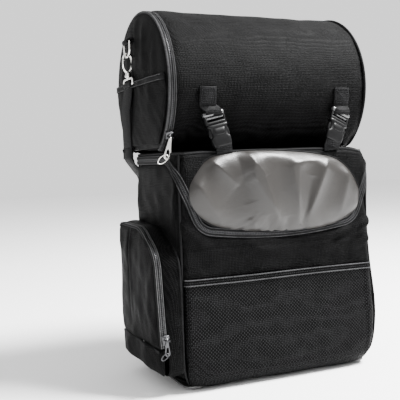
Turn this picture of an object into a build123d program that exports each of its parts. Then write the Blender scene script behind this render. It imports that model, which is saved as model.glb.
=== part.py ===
from build123d import *
import math
import os

# Two-piece motorcycle tail bag: a tall main bag with a padded lid, and a barrel roll bag buckled on top.
# Millimetres. +Z up, front (padded side) towards -Y, X across. The origin is on the floor, under the
# middle of the main bag. Each panel, board, strap, zip half, slider, ring, hook and buckle is one solid.

# ------------------------------------------------------------------ driving dimensions
main_width = 318.0
main_depth = 175.0
main_height = 338.0
wall = 4.0  # padded fabric panel
board = 2.5  # plastic stiffener
gap = 0.5  # between pieces that move apart
tape = 6.0  # one half of a zip, tape and teeth
tape_thick = 3.0
side_zip_z = 326.0  # closing line of the lid's zip along the sides
zip_corner = (144.0, 230.0)  # where the lid's zip turns below the padded panel (X, Z)
zip_dip = 204.0
roll_radius = 115.0
roll_length = 327.0
roll_y = 35.0
roll_z = 433.0
pocket_thick = {-1: 33.0, 1: 17.0}  # left and right; the right one lies nearly flat
pocket_low = 29.0
pocket_high = 230.0
pocket_door_low = 66.0
pocket_front_of = {-1: -92.0, 1: -66.0}
pocket_back = 86.0
webbing = 25.0
strap_web = 38.0
web_thick = 2.2
hook_gap = 10.0  # ring and hook stand this far outside the roll's ends

# ------------------------------------------------------------------ derived places
half_w = main_width / 2
front_y = -main_depth / 2
back_y = main_depth / 2
roll_half = roll_length / 2
roll_floor = main_height + gap
door_floor = roll_floor + wall + gap
zip_x = roll_half - 7.0  # closing line of the roll's zip, from the middle
pocket_x_of = {sign: half_w + thick for sign, thick in pocket_thick.items()}
zip_setback = 5.5  # a pocket's zip closes this far inside its face
ring_x = roll_half + hook_gap
ring_y = 64.0
tail_y = 98.0  # middle of the shoulder strap where it leaves the roll's end
ring_bar_z = 509.0
ring_drop = 22.0
hook_top = 493.5
collar_top = 462.0
eye_top = 455.0
eye_low = 442.0
tail_end_z = 345.0
loop_y = 116.0  # the shoulder strap's loop hangs clear behind the main bag
loop_x = 140.0
tail_x = 166.5  # the strap leans in to pass behind the main bag
loop_z = 300.0

os.makedirs("parts", exist_ok=True)


def save(piece, name):
    """Labels a finished piece and writes it under its own name."""
    piece.part.label = name
    export_step(piece.part, f"parts/{name}.step")


def hand(sign):
    return "left" if sign < 0 else "right"


# ------------------------------------------------------------------ shared outlines
def lid_area(grow):
    """What the lid covers on the front (X, Z): all above a smile-shaped line, moved out by grow."""
    corner_x, corner_z = zip_corner
    with BuildSketch() as area:
        with BuildLine():
            line = FilletPolyline(
                (-half_w, side_zip_z), (-corner_x, corner_z), (0, zip_dip), (corner_x, corner_z),
                (half_w, side_zip_z), radius=[42.0, 560.0, 42.0],
            )
            Polyline(line @ 1, (half_w + 60, side_zip_z), (half_w + 60, 500), (-half_w - 60, 500),
                     (-half_w - 60, side_zip_z), line @ 0)
        make_face()
        if grow:
            offset(amount=grow, kind=Kind.INTERSECTION)
    return area.sketch


def lid_side_area(grow):
    """What the lid covers on a side (Y, Z): all above a line that drops near the front."""
    with BuildSketch() as area:
        with BuildLine():
            line = FilletPolyline(
                (front_y - 40, side_zip_z - 61),
                (front_y + 25, side_zip_z),
                (back_y + 40, side_zip_z),
                radius=30,
            )
            Polyline(line @ 1, (back_y + 40, 500), (front_y - 40, 500), line @ 0)
        make_face()
        if grow:
            offset(amount=grow, kind=Kind.INTERSECTION)
    return area.sketch


def side_rect(low_z, high_z, inset=0.0):
    """A side of the main bag (Y, Z) between two heights."""
    with BuildSketch() as rect:
        with Locations((0, (low_z + high_z) / 2)):
            Rectangle(main_depth - 2 * inset, high_z - low_z)
    return rect.sketch


def barrel(radius, low_z):
    """The roll's section (Y, Z): a circle with its bottom cut off flat."""
    with BuildSketch() as section:
        with Locations((roll_y, roll_z)):
            Circle(radius)
        with Locations((roll_y, low_z - 200)):
            Rectangle(400, 400, mode=Mode.SUBTRACT)
    return section.sketch


def pocket_outline(inset, front_edge):
    """A side pocket's outline (Y, Z), with a well-rounded top front corner."""
    low, high = pocket_low + inset, pocket_high - inset
    front, back = front_edge + inset, pocket_back - inset
    with BuildSketch() as outline:
        with BuildLine():
            FilletPolyline(
                (front, low), (front + 4, high - 34), (front_edge + 78, high), (back, high + 2), (back, low),
                radius=[8, 44, 60, 16, 8], close=True,
            )
        make_face()
    return outline.sketch


def pocket_rim(inset, thick, front_edge):
    """The rim of a side pocket, thick inwards from its outline."""
    with BuildSketch() as rim:
        add(pocket_outline(inset, front_edge))
        add(pocket_outline(inset + thick, front_edge), mode=Mode.SUBTRACT)
    return rim.sketch


def above(low_z, back=400.0):
    """All of the side plane (Y, Z) above low_z and in front of back."""
    with BuildSketch() as half_plane:
        with Locations((back - 400, low_z + 400)):
            Rectangle(800, 800)
    return half_plane.sketch


def front_rect(low_z, high_z):
    """The main bag's front between its side panels (X, Z)."""
    with BuildSketch() as rect:
        with Locations((0, (low_z + high_z) / 2)):
            Rectangle(main_width - 2 * wall, high_z - low_z)
    return rect.sketch


front_plane = Plane((0, front_y, 0), x_dir=(1, 0, 0), z_dir=(0, -1, 0))  # looks at the front face


# ------------------------------------------------------------------ main bag
with BuildPart() as main_front:
    with BuildSketch(front_plane):
        add(front_rect(wall, side_zip_z))
        add(lid_area(tape), mode=Mode.SUBTRACT)
    extrude(amount=-wall)
save(main_front, "main_front")

with BuildPart() as main_zip_lower:
    with BuildSketch(front_plane.offset(-0.5)):
        add(lid_area(tape))
        add(lid_area(gap / 2), mode=Mode.SUBTRACT)
        add(front_rect(wall, side_zip_z), mode=Mode.INTERSECT)
    extrude(amount=-tape_thick)
    for sign in (-1, 1):
        with BuildSketch(Plane.YZ.offset(sign * (half_w - wall))):
            add(lid_side_area(tape))
            add(lid_side_area(gap / 2), mode=Mode.SUBTRACT)
            add(side_rect(wall, main_height, 0.5), mode=Mode.INTERSECT)
        extrude(amount=sign * tape_thick)
save(main_zip_lower, "main_zip_lower")

for sign in (-1, 1):
    with BuildPart() as main_side:
        with BuildSketch(Plane.YZ.offset(sign * (half_w - wall))):
            add(side_rect(0, side_zip_z))
            add(lid_side_area(tape), mode=Mode.SUBTRACT)
        extrude(amount=sign * wall)
        fillet(main_side.edges().filter_by(Axis.X).group_by(Axis.Z)[0], radius=14)
    save(main_side, f"main_side_{hand(sign)}")

with BuildPart() as main_back:
    with Locations((0, back_y - wall / 2, (wall + main_height - wall - gap) / 2)):
        Box(main_width - 2 * wall, wall, main_height - 2 * wall - gap)
save(main_back, "main_back")

with BuildPart() as main_base:
    with Locations((0, 0, wall / 2)):
        Box(main_width - 2 * wall, main_depth, wall)
    fillet(main_base.edges().filter_by(Axis.X).group_by(Axis.Z)[0], radius=3)
save(main_base, "main_base")

with BuildPart() as base_board:
    with Locations((0, 0, wall + board / 2)):
        Box(main_width - 2 * wall - 6, main_depth - 2 * wall - 2 * board - 4, board)
    fillet(base_board.edges().filter_by(Axis.Z), radius=12)
save(base_board, "base_board")

with BuildPart() as back_board:
    with Locations((0, back_y - wall - board / 2, 170)):
        Box(main_width - 2 * wall - 6, board, 300)
    fillet(back_board.edges().filter_by(Axis.Y), radius=12)
save(back_board, "back_board")

pocket_mouth_z = 151.0
pocket_stand = 7.0  # the front pocket stands this far out
with BuildPart() as front_pocket:
    with Locations((0, front_y - pocket_stand / 2, pocket_mouth_z / 2)):
        Box(main_width - 6, pocket_stand, pocket_mouth_z)
    with Locations((0, front_y - pocket_stand / 2 + 1, pocket_mouth_z / 2 + 6)):
        Box(main_width - 6 - 8, pocket_stand - 2, pocket_mouth_z, mode=Mode.SUBTRACT)
    fillet(front_pocket.edges().filter_by(Axis.Y).group_by(Axis.Z)[0], radius=16)
save(front_pocket, "front_pocket")

binding_height = 9.0
with BuildPart() as front_pocket_binding:
    with Locations((0, front_y - pocket_stand + 1, pocket_mouth_z + binding_height / 2)):
        Box(main_width - 6, 2, binding_height)
save(front_pocket_binding, "front_pocket_binding")

sleeve_low, sleeve_high, sleeve_half, sleeve_stand = 60.0, 265.0, 130.0, 7.0
with BuildPart() as sissy_bar_sleeve:
    with Locations((0, back_y + sleeve_stand / 2, (sleeve_low + sleeve_high) / 2)):
        Box(2 * sleeve_half, sleeve_stand, sleeve_high - sleeve_low)
    with Locations((0, back_y + sleeve_stand / 2 - 1, (sleeve_low + sleeve_high) / 2 - 4)):
        Box(2 * sleeve_half - 16, sleeve_stand - 2, sleeve_high - sleeve_low, mode=Mode.SUBTRACT)
save(sissy_bar_sleeve, "sissy_bar_sleeve")

# ------------------------------------------------------------------ lid
with BuildPart() as lid_top:
    with Locations((0, 0, main_height - wall / 2)):
        Box(main_width, main_depth, wall)
    for sign in (-1, 1):
        with BuildSketch(Plane.YZ.offset(sign * (half_w - wall))):
            add(lid_side_area(-tape))
            add(side_rect(wall, main_height - wall), mode=Mode.INTERSECT)
        extrude(amount=sign * wall)
    fillet(lid_top.edges().filter_by(Axis.Y).group_by(Axis.Z)[-1], radius=3.5)
save(lid_top, "lid_top")

with BuildPart() as lid_board:
    with Locations((0, 0, main_height - wall - board / 2)):
        Box(main_width - 2 * wall - 8, main_depth - 2 * wall - 12, board)
save(lid_board, "lid_board")

with BuildPart() as lid_flap:
    with BuildSketch(front_plane):
        add(lid_area(-tape))
        add(front_rect(wall, main_height - wall), mode=Mode.INTERSECT)
    extrude(amount=-wall)
save(lid_flap, "lid_flap")

with BuildPart() as main_zip_upper:
    with BuildSketch(front_plane.offset(-0.5)):
        add(lid_area(-gap / 2))
        add(lid_area(-tape), mode=Mode.SUBTRACT)
        add(front_rect(wall, main_height - wall), mode=Mode.INTERSECT)
    extrude(amount=-tape_thick)
    for sign in (-1, 1):
        with BuildSketch(Plane.YZ.offset(sign * (half_w - wall))):
            add(lid_side_area(-gap / 2))
            add(lid_side_area(-tape), mode=Mode.SUBTRACT)
            add(side_rect(wall, main_height - wall, 0.5), mode=Mode.INTERSECT)
        extrude(amount=sign * tape_thick)
save(main_zip_upper, "main_zip_upper")

pad_x, pad_low, pad_high, pad_half, pad_stand = -2.0, 216.0, 335.0, 141.0, 11.0
with BuildPart() as lid_pad:
    with BuildSketch(front_plane):
        with Locations((pad_x, (pad_low + pad_high) / 2)):
            RectangleRounded(2 * pad_half, pad_high - pad_low, 52)
    extrude(amount=pad_stand)
    fillet(lid_pad.faces().sort_by(Axis.Y)[0].edges(), radius=7)
save(lid_pad, "lid_pad")

# ------------------------------------------------------------------ roll bag
with BuildPart() as roll_wrap:
    with BuildSketch(Plane.YZ.offset(-zip_x + tape)):
        add(barrel(roll_radius, roll_floor + wall))
        add(barrel(roll_radius - wall, roll_floor), mode=Mode.SUBTRACT)
    extrude(amount=zip_x - tape + roll_half - wall)
save(roll_wrap, "roll_wrap")

with BuildPart() as roll_base:
    with BuildSketch(Plane.YZ.offset(-roll_half + gap)):
        add(barrel(roll_radius, roll_floor))
        with Locations((roll_y, roll_floor + wall + 200)):
            Rectangle(400, 400, mode=Mode.SUBTRACT)
    extrude(amount=roll_length - gap - wall)
save(roll_base, "roll_base")

with BuildPart() as roll_board:
    with Locations((2, roll_y, roll_floor + wall + board / 2)):
        Box(2 * zip_x - 24, 112, board)
save(roll_board, "roll_board")

with BuildPart() as roll_end_right:
    with BuildSketch(Plane.YZ.offset(roll_half - wall)):
        add(barrel(roll_radius, roll_floor))
    extrude(amount=wall)
save(roll_end_right, "roll_end_right")

with BuildPart() as roll_zip_inner:
    with BuildSketch(Plane.YZ.offset(-zip_x + gap / 2)):
        add(barrel(roll_radius - 0.5, door_floor))
        add(barrel(roll_radius - 0.5 - tape_thick, roll_floor), mode=Mode.SUBTRACT)
    extrude(amount=tape - gap / 2)
save(roll_zip_inner, "roll_zip_inner")

with BuildPart() as roll_end_left:
    with BuildSketch(Plane.YZ.offset(-roll_half)):
        add(barrel(roll_radius, door_floor))
    extrude(amount=wall)
save(roll_end_left, "roll_end_left")

with BuildPart() as roll_zip_outer:
    with BuildSketch(Plane.YZ.offset(-roll_half + wall)):
        add(barrel(roll_radius - 0.5, door_floor))
        add(barrel(roll_radius - 0.5 - tape_thick, roll_floor), mode=Mode.SUBTRACT)
    extrude(amount=roll_half - wall - zip_x - gap / 2)
save(roll_zip_outer, "roll_zip_outer")

cap_pocket_low, cap_pocket_high = 352.0, 446.0
with BuildPart() as cap_pocket:
    with BuildSketch(Plane.YZ.offset(-roll_half - 1.5)):
        add(barrel(roll_radius - 7, cap_pocket_low))
        with Locations((roll_y, cap_pocket_high + 200)):
            Rectangle(400, 400, mode=Mode.SUBTRACT)
    extrude(amount=1.5)
save(cap_pocket, "cap_pocket")

# ------------------------------------------------------------------ side pockets
for sign in (-1, 1):
    side = hand(sign)
    pocket_x = pocket_x_of[sign]
    pocket_front = pocket_front_of[sign]
    pocket_zip_x = pocket_x - zip_setback
    with BuildPart() as pocket_gusset:
        with BuildSketch(Plane.YZ.offset(sign * half_w)):
            add(pocket_rim(0, 3, pocket_front))
        extrude(amount=sign * (pocket_zip_x - tape - half_w))
        with BuildSketch(Plane.YZ.offset(sign * (pocket_zip_x - tape))):
            add(pocket_rim(0, 3, pocket_front))
            add(above(pocket_door_low, pocket_back - 4), mode=Mode.SUBTRACT)
        extrude(amount=sign * (pocket_x - wall / 2 - pocket_zip_x + tape - gap / 2))
        with BuildSketch(Plane.YZ.offset(sign * (pocket_x - wall / 2 - gap / 2))):
            add(pocket_outline(0, pocket_front))
            add(above(pocket_door_low), mode=Mode.SUBTRACT)
        extrude(amount=sign * (wall / 2 + gap / 2))
    save(pocket_gusset, f"pocket_gusset_{side}")
    with BuildPart() as pocket_zip_inner:
        with BuildSketch(Plane.YZ.offset(sign * (pocket_zip_x - tape))):
            add(pocket_rim(0.5, 2, pocket_front))
            add(above(pocket_door_low, pocket_back - 4), mode=Mode.INTERSECT)
        extrude(amount=sign * (tape - gap / 2))
    save(pocket_zip_inner, f"pocket_zip_inner_{side}")
    with BuildPart() as pocket_zip_outer:
        with BuildSketch(Plane.YZ.offset(sign * (pocket_zip_x + gap / 2))):
            add(pocket_rim(0.5, 2, pocket_front))
            add(above(pocket_door_low + gap, pocket_back - 4.5), mode=Mode.INTERSECT)
        extrude(amount=sign * (pocket_x - wall / 2 - pocket_zip_x - gap / 2))
    save(pocket_zip_outer, f"pocket_zip_outer_{side}")
    with BuildPart() as pocket_face:
        with BuildSketch(Plane.YZ.offset(sign * (pocket_x - wall / 2))):
            add(pocket_outline(0, pocket_front))
            add(above(pocket_door_low + gap), mode=Mode.INTERSECT)
        extrude(amount=sign * wall / 2)
    save(pocket_face, f"pocket_face_{side}")

# ------------------------------------------------------------------ zip sliders and pulls
slider_base = 4.0
bar_height = 8.0
bar_radius = 1.1


def slider(plane):
    """A zip slider on plane, whose X runs across the zip and whose Z points away from it."""
    with BuildPart(plane) as body:
        with Locations((0, 0, gap + slider_base / 2)):
            Box(10.5, 13, slider_base)
        with Locations((-3.7, 0, gap + 5.2), (3.7, 0, gap + 5.2)):
            Box(1.6, 3.4, 7.8)
        with Locations(Location((0, 0, bar_height + gap), (0, 90, 0))):
            Cylinder(bar_radius, 9)
    return body


def pull(plane, length, width):
    """A zip pull hanging along -Y of plane from a bar at its origin, with an open end and a long hole."""
    with BuildPart(plane) as body:
        with Locations(Location((0, 0, 0), (0, 90, 0))):
            Cylinder(3.2, 3.2)
        with BuildSketch(plane):
            with BuildLine():
                Polyline((-1.6, 0), (-width * 0.36, -8), (-width / 2, -length + 6), (width / 2, -length + 6),
                         (width * 0.36, -8), (1.6, 0), close=True)
            make_face()
            with Locations((0, -length + 6)):
                Circle(width / 2)
            with Locations((0, -length + 7)):
                SlotOverall(length * 0.34, width * 0.5, rotation=90, mode=Mode.SUBTRACT)
        extrude(amount=0.9, both=True)
        with Locations(Location((0, 0, 0), (0, 90, 0))):
            Cylinder(2.1, 8, mode=Mode.SUBTRACT)
    return body


# ------------------------------------------------------------------ rings, hooks and shoulder strap
ring_half = 15.0
ring_wire = 4.0
hook_half = 9.3
hook_wire = 3.2
gate_length = 15.0
for sign in (-1, 1):
    side = hand(sign)
    ring_at = sign * ring_x
    with BuildPart() as ring_tab:
        with Locations((sign * (roll_half + 1.1), ring_y, ring_bar_z + 8)):
            Box(web_thick, 24, 26)
        with Locations(Location((sign * (roll_half + (hook_gap + web_thick) / 2), ring_y, ring_bar_z + 4.2))):
            Box(hook_gap + web_thick, 22, web_thick)
        with Locations(Location((ring_at, ring_y, ring_bar_z), (90, 0, 0))):
            Cylinder(4.6, 22)
            Cylinder(2.4, 30, mode=Mode.SUBTRACT)
    save(ring_tab, f"ring_tab_{side}")
    with BuildPart() as ring:
        with BuildSketch(Plane.YZ.offset(ring_at - ring_wire / 2)):
            with BuildLine():
                FilletPolyline(
                    (ring_y - ring_half, ring_bar_z + 2), (ring_y + ring_half, ring_bar_z + 2),
                    (ring_y + ring_half, ring_bar_z - ring_drop - 2),
                    (ring_y - ring_half, ring_bar_z - ring_drop - 2), radius=[2, 2, 13, 13], close=True,
                )
            make_face()
            offset(amount=-ring_wire, mode=Mode.SUBTRACT)
        extrude(amount=ring_wire)
        fillet(ring.edges().filter_by(Axis.X, reverse=True), radius=1.2)
    save(ring, f"ring_{side}")
    with BuildPart() as hook:
        with BuildSketch(Plane.XZ.offset(-ring_y)):
            with Locations((ring_at, hook_top - 16)):
                Ellipse(hook_half, 16)
                Ellipse(hook_half - hook_wire, 16 - hook_wire, mode=Mode.SUBTRACT)
            with Locations((ring_at + sign * hook_half, hook_top - 17)):
                Rectangle(10, gate_length + 2 * gap, mode=Mode.SUBTRACT)
        extrude(amount=2, both=True)
        with Locations((ring_at, ring_y, (collar_top + eye_top) / 2)):
            Cylinder(5, collar_top - eye_top)
            Cylinder(2.58, 20, mode=Mode.SUBTRACT)
    save(hook, f"hook_{side}")
    with BuildPart() as gate:
        with Locations((ring_at + sign * (hook_half - 2.2), ring_y, hook_top - 17)):
            Box(3.0, 3.4, gate_length)
    save(gate, f"hook_gate_{side}")
    with BuildPart() as eye:
        with BuildSketch(Plane.YZ.offset(ring_at - 1.75)):
            with Locations((ring_y, (eye_low + eye_top - gap) / 2)):
                RectangleRounded(46, eye_top - gap - eye_low, 5)
                RectangleRounded(46 - 7, eye_top - gap - eye_low - 7, 2, mode=Mode.SUBTRACT)
        extrude(amount=3.5)
        with Locations((ring_at, ring_y, (eye_top - 2 + collar_top - 1) / 2)):
            Cylinder(2.5, collar_top - 1 - eye_top + 2)
    save(eye, f"hook_eye_{side}")


def skewed_web(low, high):
    """A length of webbing between two level ends, given by the middles of the ends."""
    with BuildPart() as web:
        with BuildSketch(Plane.XY.offset(low[2])):
            with Locations((low[0], low[1])):
                Rectangle(web_thick, strap_web)
        with BuildSketch(Plane.XY.offset(high[2])):
            with Locations((high[0], high[1])):
                Rectangle(web_thick, strap_web)
        loft()
    return web.part


tail_top = (ring_x, ring_y, eye_low - 0.3)
tail_end = (tail_x, tail_y, tail_end_z)
turn_top = (tail_x, tail_y + 3, tail_end_z - 8)
turn_middle = (161.8, 107.8, 326)  # round the main bag's back corner
turn_end = (loop_x, loop_y, loop_z)
with BuildPart() as strap_tail_left:
    add(skewed_web(tail_end, tail_top))
    mirror(about=Plane.YZ, mode=Mode.REPLACE)
save(strap_tail_left, "strap_tail_left")

loop_radii = [150, 100, 90, 90, 90, 100, 150]
loop_points = [
    (-loop_x, loop_z), (-126, 236), (-102, 164), (-58, 104), (0, 80), (58, 104), (102, 164), (126, 236),
    (loop_x, loop_z),
]
with BuildPart() as shoulder_strap:
    with BuildSketch(Plane.XZ.offset(-loop_y)):
        with BuildLine():
            route = FilletPolyline(*loop_points, radius=loop_radii)
        trace(line_width=web_thick)
    extrude(amount=strap_web / 2, both=True)
    add(skewed_web(turn_end, turn_middle))
    add(skewed_web(turn_middle, turn_top))
    mirror(shoulder_strap.part, about=Plane.YZ)
    add(skewed_web(turn_top, tail_top))
save(shoulder_strap, "shoulder_strap")
print("shoulder strap: loop", route.length, "mm, bend radii", loop_radii)

# ------------------------------------------------------------------ buckled straps
buckle_length = 47.0
buckle_half, buckle_thick = 16.0, 11.0
buckle_top = (-80.0, 388.0)  # (Y, Z) of a buckle's upper bar
buckle_foot = (-89.5, 339.0)  # and of its lower end, just above the padded panel
tab_high, tab_low = 427.5, 400.5  # the stitched end of an upper strap on the roll
buckle_places = {-1: (-105.5, -98.0, -87.0), 1: (116.0, 114.0, 90.0)}  # X of the tab, upper bar and foot
for sign, (tab_x, top_x, low_x) in buckle_places.items():
    side = hand(sign)
    top = Vector(top_x, *buckle_top)
    down = (Vector(low_x, *buckle_foot) - top).normalized()
    across = down.cross(Vector(0, 1, 0)).normalized()
    plane = Plane(origin=top, x_dir=across, z_dir=across.cross(-down))
    with BuildPart() as buckle_plug:
        with BuildSketch(plane.offset(-3)):
            with Locations((0, -5)):
                RectangleRounded(2 * buckle_half, 17, 3)
            with Locations((0, -1), (0, -7.5)):
                Rectangle(webbing + 1, 3.2, mode=Mode.SUBTRACT)
            with Locations((-10.5, -24), (10.5, -24), (0, -20)):
                Rectangle(3.6, 24)
        extrude(amount=6)
    save(buckle_plug, f"buckle_plug_{side}")
    with BuildPart() as buckle_socket:
        with BuildSketch(plane.offset(-buckle_thick / 2)):
            with BuildLine():
                Polyline((-buckle_half, -14), (buckle_half, -14), (buckle_half - 2, -buckle_length),
                         (2 - buckle_half, -buckle_length), close=True)
            make_face()
            with Locations((0, -buckle_length + 5)):
                Rectangle(webbing - 1, 3.2, mode=Mode.SUBTRACT)
        extrude(amount=buckle_thick)
        with BuildSketch(plane.offset(-3.5)):
            with Locations((0, -25)):
                Rectangle(25.6, 23.0)
        extrude(amount=7, mode=Mode.SUBTRACT)
    save(buckle_socket, f"buckle_socket_{side}")
    with BuildPart() as upper_strap:
        with BuildSketch(Plane.YZ.offset(tab_x - webbing / 2)):
            add(barrel(roll_radius + 2.6, roll_floor))
            add(barrel(roll_radius + 0.3, roll_floor), mode=Mode.SUBTRACT)
            with Locations((-80, (tab_high + tab_low) / 2)):
                Rectangle(60, tab_high - tab_low, mode=Mode.INTERSECT)
        extrude(amount=webbing)
        link_top = Vector(tab_x, -81.2, 408.0)
        run = top - down * 12.5 - link_top
        beside = run.cross(Vector(0, 1, 0)).normalized()
        link_plane = Plane(origin=link_top, x_dir=beside, z_dir=beside.cross(-run).normalized())
        with BuildSketch(link_plane.offset(-web_thick / 2)):
            with Locations((0, -run.length / 2)):
                Rectangle(webbing, run.length)
        extrude(amount=web_thick)
    save(upper_strap, f"upper_strap_{side}")
    with BuildPart() as lower_strap:
        with BuildSketch(plane.offset(-web_thick / 2)):
            with Locations((0, -buckle_length - 10.3)):
                Rectangle(webbing, 20)
        extrude(amount=web_thick)
        split(bisect_by=Plane((0, 0, pad_high + 0.6)), keep=Keep.TOP)
        split(bisect_by=Plane((0, front_y, 0), z_dir=(0, -1, 0)), keep=Keep.TOP)
    save(lower_strap, f"lower_strap_{side}")

# ------------------------------------------------------------------ sliders where they stand
slider_angle = math.radians(218.0)
out = Vector(0, math.cos(slider_angle), math.sin(slider_angle))
roll_slider_at = Vector(-zip_x, roll_y, roll_z) + out * roll_radius
roll_slider_plane = Plane(origin=roll_slider_at, x_dir=(1, 0, 0), z_dir=out)
save(slider(roll_slider_plane), "roll_slider")
pull_lean = math.radians(20.0)
roll_pull_at = roll_slider_plane.origin + out * (bar_height + gap)
roll_pull_x = (math.cos(pull_lean), 0, -math.sin(pull_lean))
roll_pull_plane = Plane(origin=roll_pull_at, x_dir=roll_pull_x, z_dir=(0, -1, 0))
save(pull(roll_pull_plane, 37, 9), "roll_pull")

main_slider_plane = Plane(origin=(half_w, 62, side_zip_z), x_dir=(0, 1, 0), z_dir=(1, 0, 0))
save(slider(main_slider_plane), "main_slider")
main_pull_at = main_slider_plane.origin + Vector(bar_height + gap, 0, 0)
main_pull_plane = Plane(origin=main_pull_at, x_dir=(0, 1, 0), z_dir=(1, 0, 0))
save(pull(main_pull_plane, 32, 8), "main_pull")

pocket_slider_z = 82.0
for sign in (-1, 1):
    side = hand(sign)
    zip_at = sign * (pocket_x_of[sign] - zip_setback - 0.5)
    slider_at = (zip_at, pocket_front_of[sign] - 0.4, pocket_slider_z)
    plane = Plane(origin=slider_at, x_dir=(1, 0, 0), z_dir=(0, -1, 0))
    save(slider(plane), f"pocket_slider_{side}")
    pull_at = plane.origin - Vector(0, bar_height + gap, 0)
    save(pull(Plane(origin=pull_at, x_dir=(1, 0, 0), z_dir=(0, -1, 0)), 30, 8), f"pocket_pull_{side}")
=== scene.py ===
"""A two-piece motorcycle tail bag: visual model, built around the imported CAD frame.

Lengths below are in millimetres unless a name says otherwise; pieces are written in metres.
Front is -Y, up is +Z. Each sewn piece is a surface with its own folds, on the place its CAD node holds.
"""
import math

import bmesh
import bpy
import numpy as np
from mathutils import Matrix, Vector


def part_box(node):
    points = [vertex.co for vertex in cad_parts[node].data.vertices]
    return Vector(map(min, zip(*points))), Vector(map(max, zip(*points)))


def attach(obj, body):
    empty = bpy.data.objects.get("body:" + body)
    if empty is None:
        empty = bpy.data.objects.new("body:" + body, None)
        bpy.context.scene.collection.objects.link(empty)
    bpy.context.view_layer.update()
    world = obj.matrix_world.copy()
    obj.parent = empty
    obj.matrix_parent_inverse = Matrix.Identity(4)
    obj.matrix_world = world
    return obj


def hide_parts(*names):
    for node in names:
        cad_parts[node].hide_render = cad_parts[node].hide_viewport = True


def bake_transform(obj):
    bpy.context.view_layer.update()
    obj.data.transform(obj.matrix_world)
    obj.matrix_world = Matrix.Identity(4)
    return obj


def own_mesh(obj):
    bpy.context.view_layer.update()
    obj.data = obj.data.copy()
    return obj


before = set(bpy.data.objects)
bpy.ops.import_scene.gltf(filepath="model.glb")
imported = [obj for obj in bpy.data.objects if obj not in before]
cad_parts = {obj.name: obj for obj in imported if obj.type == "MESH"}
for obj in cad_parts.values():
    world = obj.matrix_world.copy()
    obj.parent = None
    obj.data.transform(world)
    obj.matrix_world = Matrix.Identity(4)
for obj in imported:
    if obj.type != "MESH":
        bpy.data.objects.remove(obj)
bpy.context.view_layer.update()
MM = 0.001
TAU = 2 * math.pi
SIDES = {-1: "left", 1: "right"}


def node_box(node):
    """A CAD node's lowest and highest corners, in millimetres."""
    low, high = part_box(node)
    return np.array(low) / MM, np.array(high) / MM


# ------------------------------------------------------------------ sizes read from the frame
HALF_W, HALF_D, TOP = node_box("lid_top")[1]
wrap_low, wrap_high = node_box("roll_wrap")
ROLL_R = (wrap_high[1] - wrap_low[1]) / 2
ROLL_Y = (wrap_high[1] + wrap_low[1]) / 2
ROLL_Z = wrap_high[2] - ROLL_R
ROLL_HALF = -node_box("roll_end_left")[0][0]
ROLL_FLOOR = node_box("roll_base")[0][2]
ZIP_X = -node_box("roll_zip_outer")[1][0]
BINDING_LOW, BINDING_HIGH = (corner[2] for corner in node_box("front_pocket_binding"))
SIDE_LINE_Z = 326.0  # closing line of the lid's zip along the sides
LIP = 6.0  # half of a closed zip, to the seam


# ------------------------------------------------------------------ camera, light, floor
def set_camera():
    """The photograph's eye point and direction."""
    yaw, pitch, roll = 0.408, -0.057, -0.034
    forward = np.array([math.sin(yaw) * math.cos(pitch), math.cos(yaw) * math.cos(pitch), math.sin(pitch)])
    right = np.array([math.cos(yaw), -math.sin(yaw), 0.0])
    up = np.cross(right, forward)
    tilted_right = math.cos(roll) * right + math.sin(roll) * up
    tilted_up = -math.sin(roll) * right + math.cos(roll) * up
    data = bpy.data.cameras.new("camera")
    data.sensor_width = 36.0
    data.lens = 65.085
    data.clip_end = 50.0
    camera = bpy.data.objects.new("camera", data)
    bpy.context.scene.collection.objects.link(camera)
    place = Matrix.Identity(4)
    for row in range(3):
        place[row][0] = tilted_right[row]
        place[row][1] = tilted_up[row]
        place[row][2] = -forward[row]
    place[0][3], place[1][3], place[2][3] = -0.52302, -1.0067, 0.32704
    camera.matrix_world = place
    bpy.context.scene.camera = camera


def area_light(name, at, towards, size, power):
    """A rectangular lamp that shines from one place towards another, in metres and watts."""
    data = bpy.data.lights.new(name, "AREA")
    data.shape = "RECTANGLE"
    data.size, data.size_y = size
    data.energy = power
    lamp = bpy.data.objects.new(name, data)
    bpy.context.scene.collection.objects.link(lamp)
    away = np.array(at, float) - np.array(towards, float)
    away /= np.linalg.norm(away)
    side = np.cross([0, 0, 1], away)
    side /= np.linalg.norm(side)
    over = np.cross(away, side)
    place = Matrix.Identity(4)
    for row in range(3):
        place[row][0], place[row][1], place[row][2], place[row][3] = side[row], over[row], away[row], at[row]
    lamp.matrix_world = place


def set_stage():
    """White surroundings, two lamps and a pale floor."""
    world = bpy.data.worlds.new("studio")
    world.use_nodes = True
    background = world.node_tree.nodes["Background"]
    background.inputs["Color"].default_value = (1, 1, 1, 1)
    background.inputs["Strength"].default_value = 1.35
    bpy.context.scene.world = world
    area_light("key", (1.15, -0.65, 2.1), (0, 0, 0.42), (0.9, 0.6), 430)
    area_light("side", (-1.6, -1.2, 1.6), (0, 0, 0.3), (0.5, 0.7), 6)
    mesh = bpy.data.meshes.new("floor")
    mesh.from_pydata([(-6, -6, 0), (6, -6, 0), (6, 6, 0), (-6, 6, 0)], [], [(0, 1, 2, 3)])
    floor = bpy.data.objects.new("floor", mesh)
    bpy.context.scene.collection.objects.link(floor)
    material = bpy.data.materials.new("floor")
    material.use_nodes = True
    shader = material.node_tree.nodes["Principled BSDF"]
    shader.inputs["Base Color"].default_value = (0.92, 0.92, 0.92, 1)
    shader.inputs["Roughness"].default_value = 0.9
    mesh.materials.append(material)


set_camera()
set_stage()


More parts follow.
